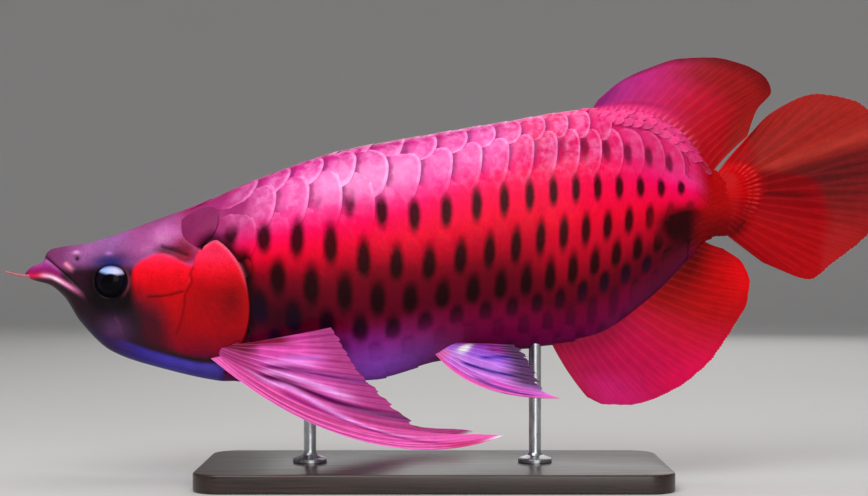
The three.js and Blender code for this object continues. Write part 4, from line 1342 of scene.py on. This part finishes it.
def dorsal_tint(across, along):
    tint = gradient(
        across, (0, "8c1c60"), (0.06, "801870"), (0.15, "a82480"), (0.3, "c02078"), (0.42, "c81860"),
        (0.55, "c41038"), (0.7, "b80c20"), (0.85, "ac0214"), (1, "a80006"),
    )
    tint = layered(
        tint,
        ("f02c80", 0.75 * ease(0.28, 0.05, along) * ease(0.7, 0.4, across)),
        ("9c0450", 0.6 * hump(along, 0.17, 0.04) * hump(across, 0.35, 0.22)),
        ("8c1410", 0.85 * ease(0.4, 0.75, along + 0.25 * (across - 0.5)) * ease(0.22, 0.5, across)),
        ("40080c", 0.7 * ease(0.8, 1, along) * ease(0.05, 0.2, across) * ease(0.9, 0.7, across)),
    )
    dash = ray_profile(across, 0 * along, 26) * ease(0.14, 0.04, along + 0.08 * (across - 0.4))
    return paint(tint, "ff70b0", 0.6 * dash * ease(0.85, 0.7, across))


def anal_tint(across, along):
    tint = gradient(
        across, (0, "b01444"), (0.2, "bc0c50"), (0.42, "c80048"), (0.52, "c40030"), (0.62, "ac0008"),
        (0.85, "c40004"), (1, "98000a"),
    )
    return layered(
        tint,
        ("d8207c", 0.7 * hump(across, 0.17, 0.12) * ease(0.35, 0.7, along)),
        ("e60054", 0.6 * hump(across, 0.42, 0.12) * ease(0.55, 0.95, along)),
        ("e8000c", 0.8 * hump(across, 0.82, 0.1) * ease(0.5, 0.9, along)),
        # Painted shade at the fin's root, dark at the rear rays and purple at the front.
        ("500000", 0.9 * ease(0.55, 0.05, along) * hump(across, 0.83, 0.2)),
        ("8c0430", 0.6 * ease(0.3, 0, along) * ease(0.6, 0.3, across)),
    )


# Where the dull red veil of the tail begins along its rays.
TAIL_VEIL = Curve(
    (0, 0.95), (0.05, 0.75), (0.1, 0.5), (0.15, 0.38), (0.3, 0.16), (0.4, 0.3), (0.47, 0.52), (0.6, 0.63),
    (0.7, 0.73), (0.8, 0.88), (0.88, 1.1),
)


def tail_tint(across, along):
    tint = gradient(
        across, (0, "bc0008"), (0.1, "a80008"), (0.2, "98060c"), (0.42, "80040a"), (0.6, "90000a"),
        (0.78, "b00008"), (0.9, "ac000c"), (1, "90000a"),
    )
    veil = gradient(
        across, (0, "801410"), (0.15, "901a14"), (0.34, "a42820"), (0.44, "54181a"), (0.55, "6c1a1a"),
        (0.68, "9c1c1c"), (0.8, "b41c20"),
    )
    tint = paint(tint, veil, 0.9 * ease(-0.07, 0.05, along - TAIL_VEIL(across)))
    tint = add_strokes(
        tint, across, along,
        ("d04438", 0.5, 0.02, 0.2, 1.1, (0, 0.33), (0.3, 0.35), (1, 0.38)),
        ("5c0206", 0.7, 0.02, 0.12, 0.5, (0, 0.5), (0.5, 0.55)),
    )
    tint = layered(
        tint,
        ("c40006", ease(0.2, 0.08, along) * ease(0.75, 0.5, across)),
        # Painted shade on the lower rays at the root, as on the tail stalk.
        ("6c0006", 0.8 * ease(0.25, 0.08, along) * ease(0.7, 0.9, across)),
    )
    dash = ray_profile(across, 0 * along, 24) * (hump(along, 0.115, 0.022) + 0.7 * hump(along, 0.06, 0.015))
    return paint(tint, "ff4c50", 0.75 * dash * ease(0.12, 0.25, across) * ease(0.85, 0.55, across))


def pectoral_tint(across, along):
    tint = gradient(
        across, (0, "ff7cd4"), (0.12, "ff68c4"), (0.25, "f458b0"), (0.45, "e450b4"), (0.6, "e85cc0"),
        (0.85, "f054bc"), (1, "c43090"),
    )
    tint = paint(tint, "981c68", 0.85 * ease(0.6, 0.92, along) * ease(0.2, 0.45, across))
    narrowing = 0.036 - 0.014 * ease(0.5, 0.9, along)
    # The pale strokes are painted highlights on the folds of the fin. The dark ones are its darker membrane
    # between rays, with painted shade in the folds.
    tint = add_strokes(
        tint, across, along,
        (
            "ffa8ff", 0.9, 0.028, 0.1, 0.8, (0.1, 0.37), (0.2, 0.36), (0.35, 0.4), (0.5, 0.35),
            (0.65, 0.29), (0.78, 0.2), (1, 0.1),
        ),
        ("ffb0ff", 0.95, 0.038, 0.2, 0.78, (0.15, 0.47), (0.35, 0.54), (0.5, 0.53), (0.7, 0.48)),
        ("ff98f8", 0.85, 0.035, 0.22, 0.7, (0.2, 0.64), (0.4, 0.7), (0.6, 0.73), (1, 0.74)),
        (
            "5c0050", 1, narrowing, 0.14, 1.1, (0.1, 0.38), (0.2, 0.41), (0.35, 0.455), (0.5, 0.425),
            (0.65, 0.4), (1, 0.385),
        ),
        (
            "a01480", 0.85, 0.026, 0.28, 0.92, (0.2, 0.33), (0.45, 0.31), (0.6, 0.27), (0.75, 0.15),
            (0.9, 0.06),
        ),
        ("780c74", 0.95, 0.032, 0.2, 1.1, (0.2, 0.57), (0.35, 0.62), (0.5, 0.645), (1, 0.635)),
        ("90084c", 0.8, 0.013, 0.62, 1.1, (0, 0.36), (1, 0.33)),
        ("c480f0", 0.6, 0.016, 0.4, 0.8, (0.35, 0.75), (0.75, 0.79)),
    )
    return layered(
        tint,
        ("e01468", 0.8 * hump(along, 0.86, 0.09) * ease(0.18, 0.04, across)),
        ("fff0ff", ease(0.92, 0.985, along) * ease(0.1, 0.01, across)),
        # Painted shade at the root, where the fin meets the body.
        ("a82868", 0.8 * ease(0.22, 0.04, along) * ease(0.25, 0.5, across)),
        ("70081c", 0.85 * ease(0.26, 0.05, along) * ease(0.62, 0.8, across)),
        ("8c1038", 0.9 * ease(0.86, 0.92, across) * ease(0.62, 0.42, along)),
    )


def pelvic_tint(across, along):
    tint = gradient(
        across, (0, "ff5cc4"), (0.07, "fc70d0"), (0.12, "ec7cf4"), (0.3, "e890ff"), (0.45, "dc8cff"),
        (0.6, "b068f4"), (0.75, "b058e0"), (0.9, "8c30b0"), (1, "8c2498"),
    )
    tint = paint(tint, "84107c", 0.9 * ease(0.38, 0.6, along) * ease(0.66, 0.8, across))
    tint = add_strokes(
        tint, across, along,
        ("5c109c", 0.95, 0.036, 0.36, 0.9, (0.3, 0.14), (0.45, 0.13), (0.6, 0.11), (0.8, 0.08)),
        ("f84ccc", 0.8, 0.04, 0.52, 0.95, (0.5, 0.21), (0.85, 0.16)),
        ("200ca0", 1, 0.038, 0.2, 0.9, (0.1, 0.29), (0.25, 0.33), (0.45, 0.36), (0.6, 0.37), (0.8, 0.4)),
        ("2c10ac", 0.95, 0.042, 0.4, 0.95, (0.3, 0.53), (0.5, 0.61), (0.6, 0.65), (0.8, 0.71)),
    )
    return layered(
        tint,
        ("1c0630", 0.95 * ease(0.6, 0.88, along) * ease(0.1, 0.35, across)),
        ("f870b4", 0.75 * ease(0.08, 0, along) * ease(0.6, 0.4, across)),
        # A painted highlight: a white patch on the upper rays near the root.
        ("fff8ff", np.clip(1.5 * hump(across, 0.73, 0.19) * hump(along, 0.13, 0.07), 0, 1)),
    )


class AROWANA_OT_middle_fins(bpy.types.Operator):
    """Make the dorsal, anal and tail fins"""

    bl_idname = "arowana.middle_fins"
    bl_label = "Middle fins"

    def execute(self, context):
        steps = context.scene.arowana.ray_steps
        material = fin_finish("Red fin", hue("ff3034"), 0.1, 0.12)
        tints = {"dorsal_fin": dorsal_tint, "anal_fin": anal_tint, "tail_fin": tail_tint}
        for name, fin in MIDDLE_FINS.items():
            rays = []
            for root_x, root_z, tip_x, tip_z in fin["rays"]:
                bend_x = (root_x + tip_x) / 2 - fin["bow"] * (tip_z - root_z)
                bend_z = (root_z + tip_z) / 2 + fin["bow"] * (tip_x - root_x)
                rays.append([(root_x, 0, root_z), (bend_x, 0, bend_z), (tip_x, 0, tip_z)])

            def offset(across, along, x, fin=fin):
                ripple = np.sin(2 * np.pi * fin["waves"] * across)
                return sweep(x) + fin["wave"] * np.clip(along, 0, 1) * ripple

            shape = FinShape(rays, offset)
            fin_piece(name, shape, fin, tints[name], material, steps)
        return {"FINISHED"}


class AROWANA_OT_paired_fins(bpy.types.Operator):
    """Make the pectoral and pelvic fins"""

    bl_idname = "arowana.paired_fins"
    bl_label = "Paired fins"
    ray_steps = 10

    def execute(self, context):
        material = fin_finish("Pink fin", hue("ffb0ec"), 0.12, 0.3)
        tints = {"pectoral_fin": pectoral_tint, "pelvic_fin": pelvic_tint}
        for kind, fin in PAIRED_FINS.items():
            for side, sign in SIDES.items():
                rays = np.array(fin["rays"], float)
                if sign > 0:
                    root = rays[0, 0].copy()
                    x, z = (rays[..., 0] - root[0]) * fin["length"], (rays[..., 2] - root[2]) * fin["length"]
                    rays[..., 0] = root[0] + x * math.cos(fin["fold"]) - z * math.sin(fin["fold"])
                    rays[..., 2] = root[2] + x * math.sin(fin["fold"]) + z * math.cos(fin["fold"])
                    rays[..., 1] = rays[:, :1, 1] + (rays[..., 1] - rays[:, :1, 1]) * fin["spread"]
                rays[..., 1] *= sign
                shape = FinShape(rays, lambda across, along, x: 0 * x)
                fin_piece(f"{kind}_{side}", shape, fin, tints[kind], material, self.ray_steps)
        return {"FINISHED"}


class AROWANA_OT_eyes(bpy.types.Operator):
    """Make the two glass eyes"""

    bl_idname = "arowana.eyes"
    bl_label = "Eyes"

    def execute(self, context):
        material = eye_finish()
        for side, sign in SIDES.items():
            bm = bmesh.new()
            bmesh.ops.create_uvsphere(bm, u_segments=48, v_segments=32, radius=1)
            bmesh.ops.rotate(bm, verts=bm.verts, matrix=Matrix.Rotation(math.pi / 2, 3, "X"))
            mesh = mesh_from(bm, "eye")
            ball = coordinates(mesh)
            vertex = corner_vertices(mesh)
            add_map(mesh, "Eye", ball[vertex][:, (0, 2)] / 2 + 0.5)
            size = (EYE["radius"], EYE["depth"], EYE["radius"])
            set_coordinates(mesh, place(ball * size + (EYE["x"], sign * EYE["y"], EYE["z"])))
            finished("eye_ball_" + side, mesh, material, ["eye_" + side])
        return {"FINISHED"}


class AROWANA_OT_whiskers(bpy.types.Operator):
    """Make the two whiskers of the chin"""

    bl_idname = "arowana.whiskers"
    bl_label = "Whiskers"

    def execute(self, context):
        material = whisker_finish()
        for side, points in WHISKERS.items():
            path = smooth_path(points)
            walked = np.concatenate([[0], np.cumsum(np.linalg.norm(np.diff(path, axis=0), axis=1))])

            def point(across, along, path=path, walked=walked):
                place_on = [np.interp(along * walked[-1], walked, path[:, i]) for i in range(3)]
                ahead = [np.interp(along * walked[-1] + 0.5, walked, path[:, i]) for i in range(3)]
                behind = [np.interp(along * walked[-1] - 0.5, walked, path[:, i]) for i in range(3)]
                forward = unit(np.stack(ahead, -1) - np.stack(behind, -1))
                side_way = unit(np.cross(forward, (0, 0, 1.0)))
                up = np.cross(side_way, forward)
                radius = (1.1 - 0.5 * along) * np.sqrt(np.clip(1 - along**12, 0, 1)) + 0.01
                turn = 2 * np.pi * across
                ring = side_way * np.cos(turn)[:, None] + up * np.sin(turn)[:, None]
                return place(np.stack(place_on, -1) + ring * radius[:, None])

            mesh, _, _ = grid_mesh("barbel", 20, 40, point)
            close_up(mesh, 1e-6)
            finished("whisker_" + side, mesh, material, ["barbel_" + side])
        return {"FINISHED"}


class AROWANA_OT_stand(bpy.types.Operator):
    """Make the wooden base and the two steel rods"""

    bl_idname = "arowana.stand"
    bl_label = "Stand"

    def execute(self, context):
        low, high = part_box("stand_base")
        size = high - low
        bm = bmesh.new()
        bmesh.ops.create_cube(bm, size=1)
        bmesh.ops.scale(bm, verts=bm.verts, vec=size)
        bmesh.ops.translate(bm, verts=bm.verts, vec=(low + high) / 2)
        upright = [e for e in bm.edges if abs(e.verts[0].co.z - e.verts[1].co.z) > size.z / 2]
        bmesh.ops.bevel(bm, geom=upright, offset=0.018, segments=12, profile=0.5, affect="EDGES", material=-1)
        flat = [e for e in bm.edges if abs(e.verts[0].co.z - e.verts[1].co.z) < 1e-6]
        level = [e for e in flat if e.calc_face_angle(0) > 1]
        bmesh.ops.bevel(bm, geom=level, offset=0.0015, segments=4, profile=0.5, affect="EDGES", material=-1)
        mesh = mesh_from(bm, "base_board")
        finished("base_board", mesh, wood_finish(), ["stand_base"], sharp=40)

        steel = steel_finish()
        for end in ("front", "rear"):
            low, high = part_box("stand_rod_" + end)
            x, y = (low.x + high.x) / 2, (low.y + high.y) / 2
            bottom, top, foot = low.z, high.z + 0.0015, (high.x - low.x) / 2
            bm = bmesh.new()
            profile = [
                (0, bottom), (foot, bottom), (foot, bottom + 0.0018), (0.96 * foot, bottom + 0.0024),
                (0.8 * foot, bottom + 0.003), (0.005, bottom + 0.0045), (0.0042, bottom + 0.006),
                (0.004, bottom + 0.0078), (0.004, top), (0, top),
            ]
            made = [bm.verts.new((r, 0, z)) for r, z in profile]
            for a, b in zip(made, made[1:]):
                bm.edges.new((a, b))
            full_turn(bm, 40)
            bmesh.ops.translate(bm, verts=bm.verts, vec=(x, y, 0))
            mesh = mesh_from(bm, "rod")
            finished("rod_" + end, mesh, steel, ["stand_rod_" + end], sharp=35)
        return {"FINISHED"}


OPERATORS = (
    AROWANA_OT_stage, AROWANA_OT_skin, AROWANA_OT_scales, AROWANA_OT_middle_fins, AROWANA_OT_paired_fins,
    AROWANA_OT_eyes, AROWANA_OT_whiskers, AROWANA_OT_stand,
)


class AROWANA_PT_model(bpy.types.Panel):
    """Lists the steps that build the model"""

    bl_idname = "AROWANA_PT_model"
    bl_label = "Arowana Display Model"
    bl_space_type = "VIEW_3D"
    bl_region_type = "UI"
    bl_category = "Arowana"

    def draw(self, context):
        for name in ArowanaSettings.__annotations__:
            self.layout.prop(context.scene.arowana, name)
        for operator in OPERATORS:
            self.layout.operator(operator.bl_idname)


def register():
    for item in (ArowanaSettings, *OPERATORS, AROWANA_PT_model):
        bpy.utils.register_class(item)
    bpy.types.Scene.arowana = PointerProperty(type=ArowanaSettings)


def unregister():
    del bpy.types.Scene.arowana
    for item in reversed((ArowanaSettings, *OPERATORS, AROWANA_PT_model)):
        bpy.utils.unregister_class(item)


def main():
    register()
    for operator in OPERATORS:
        getattr(bpy.ops.arowana, operator.bl_idname.split(".")[1])()


if __name__ == "__main__":
    main()
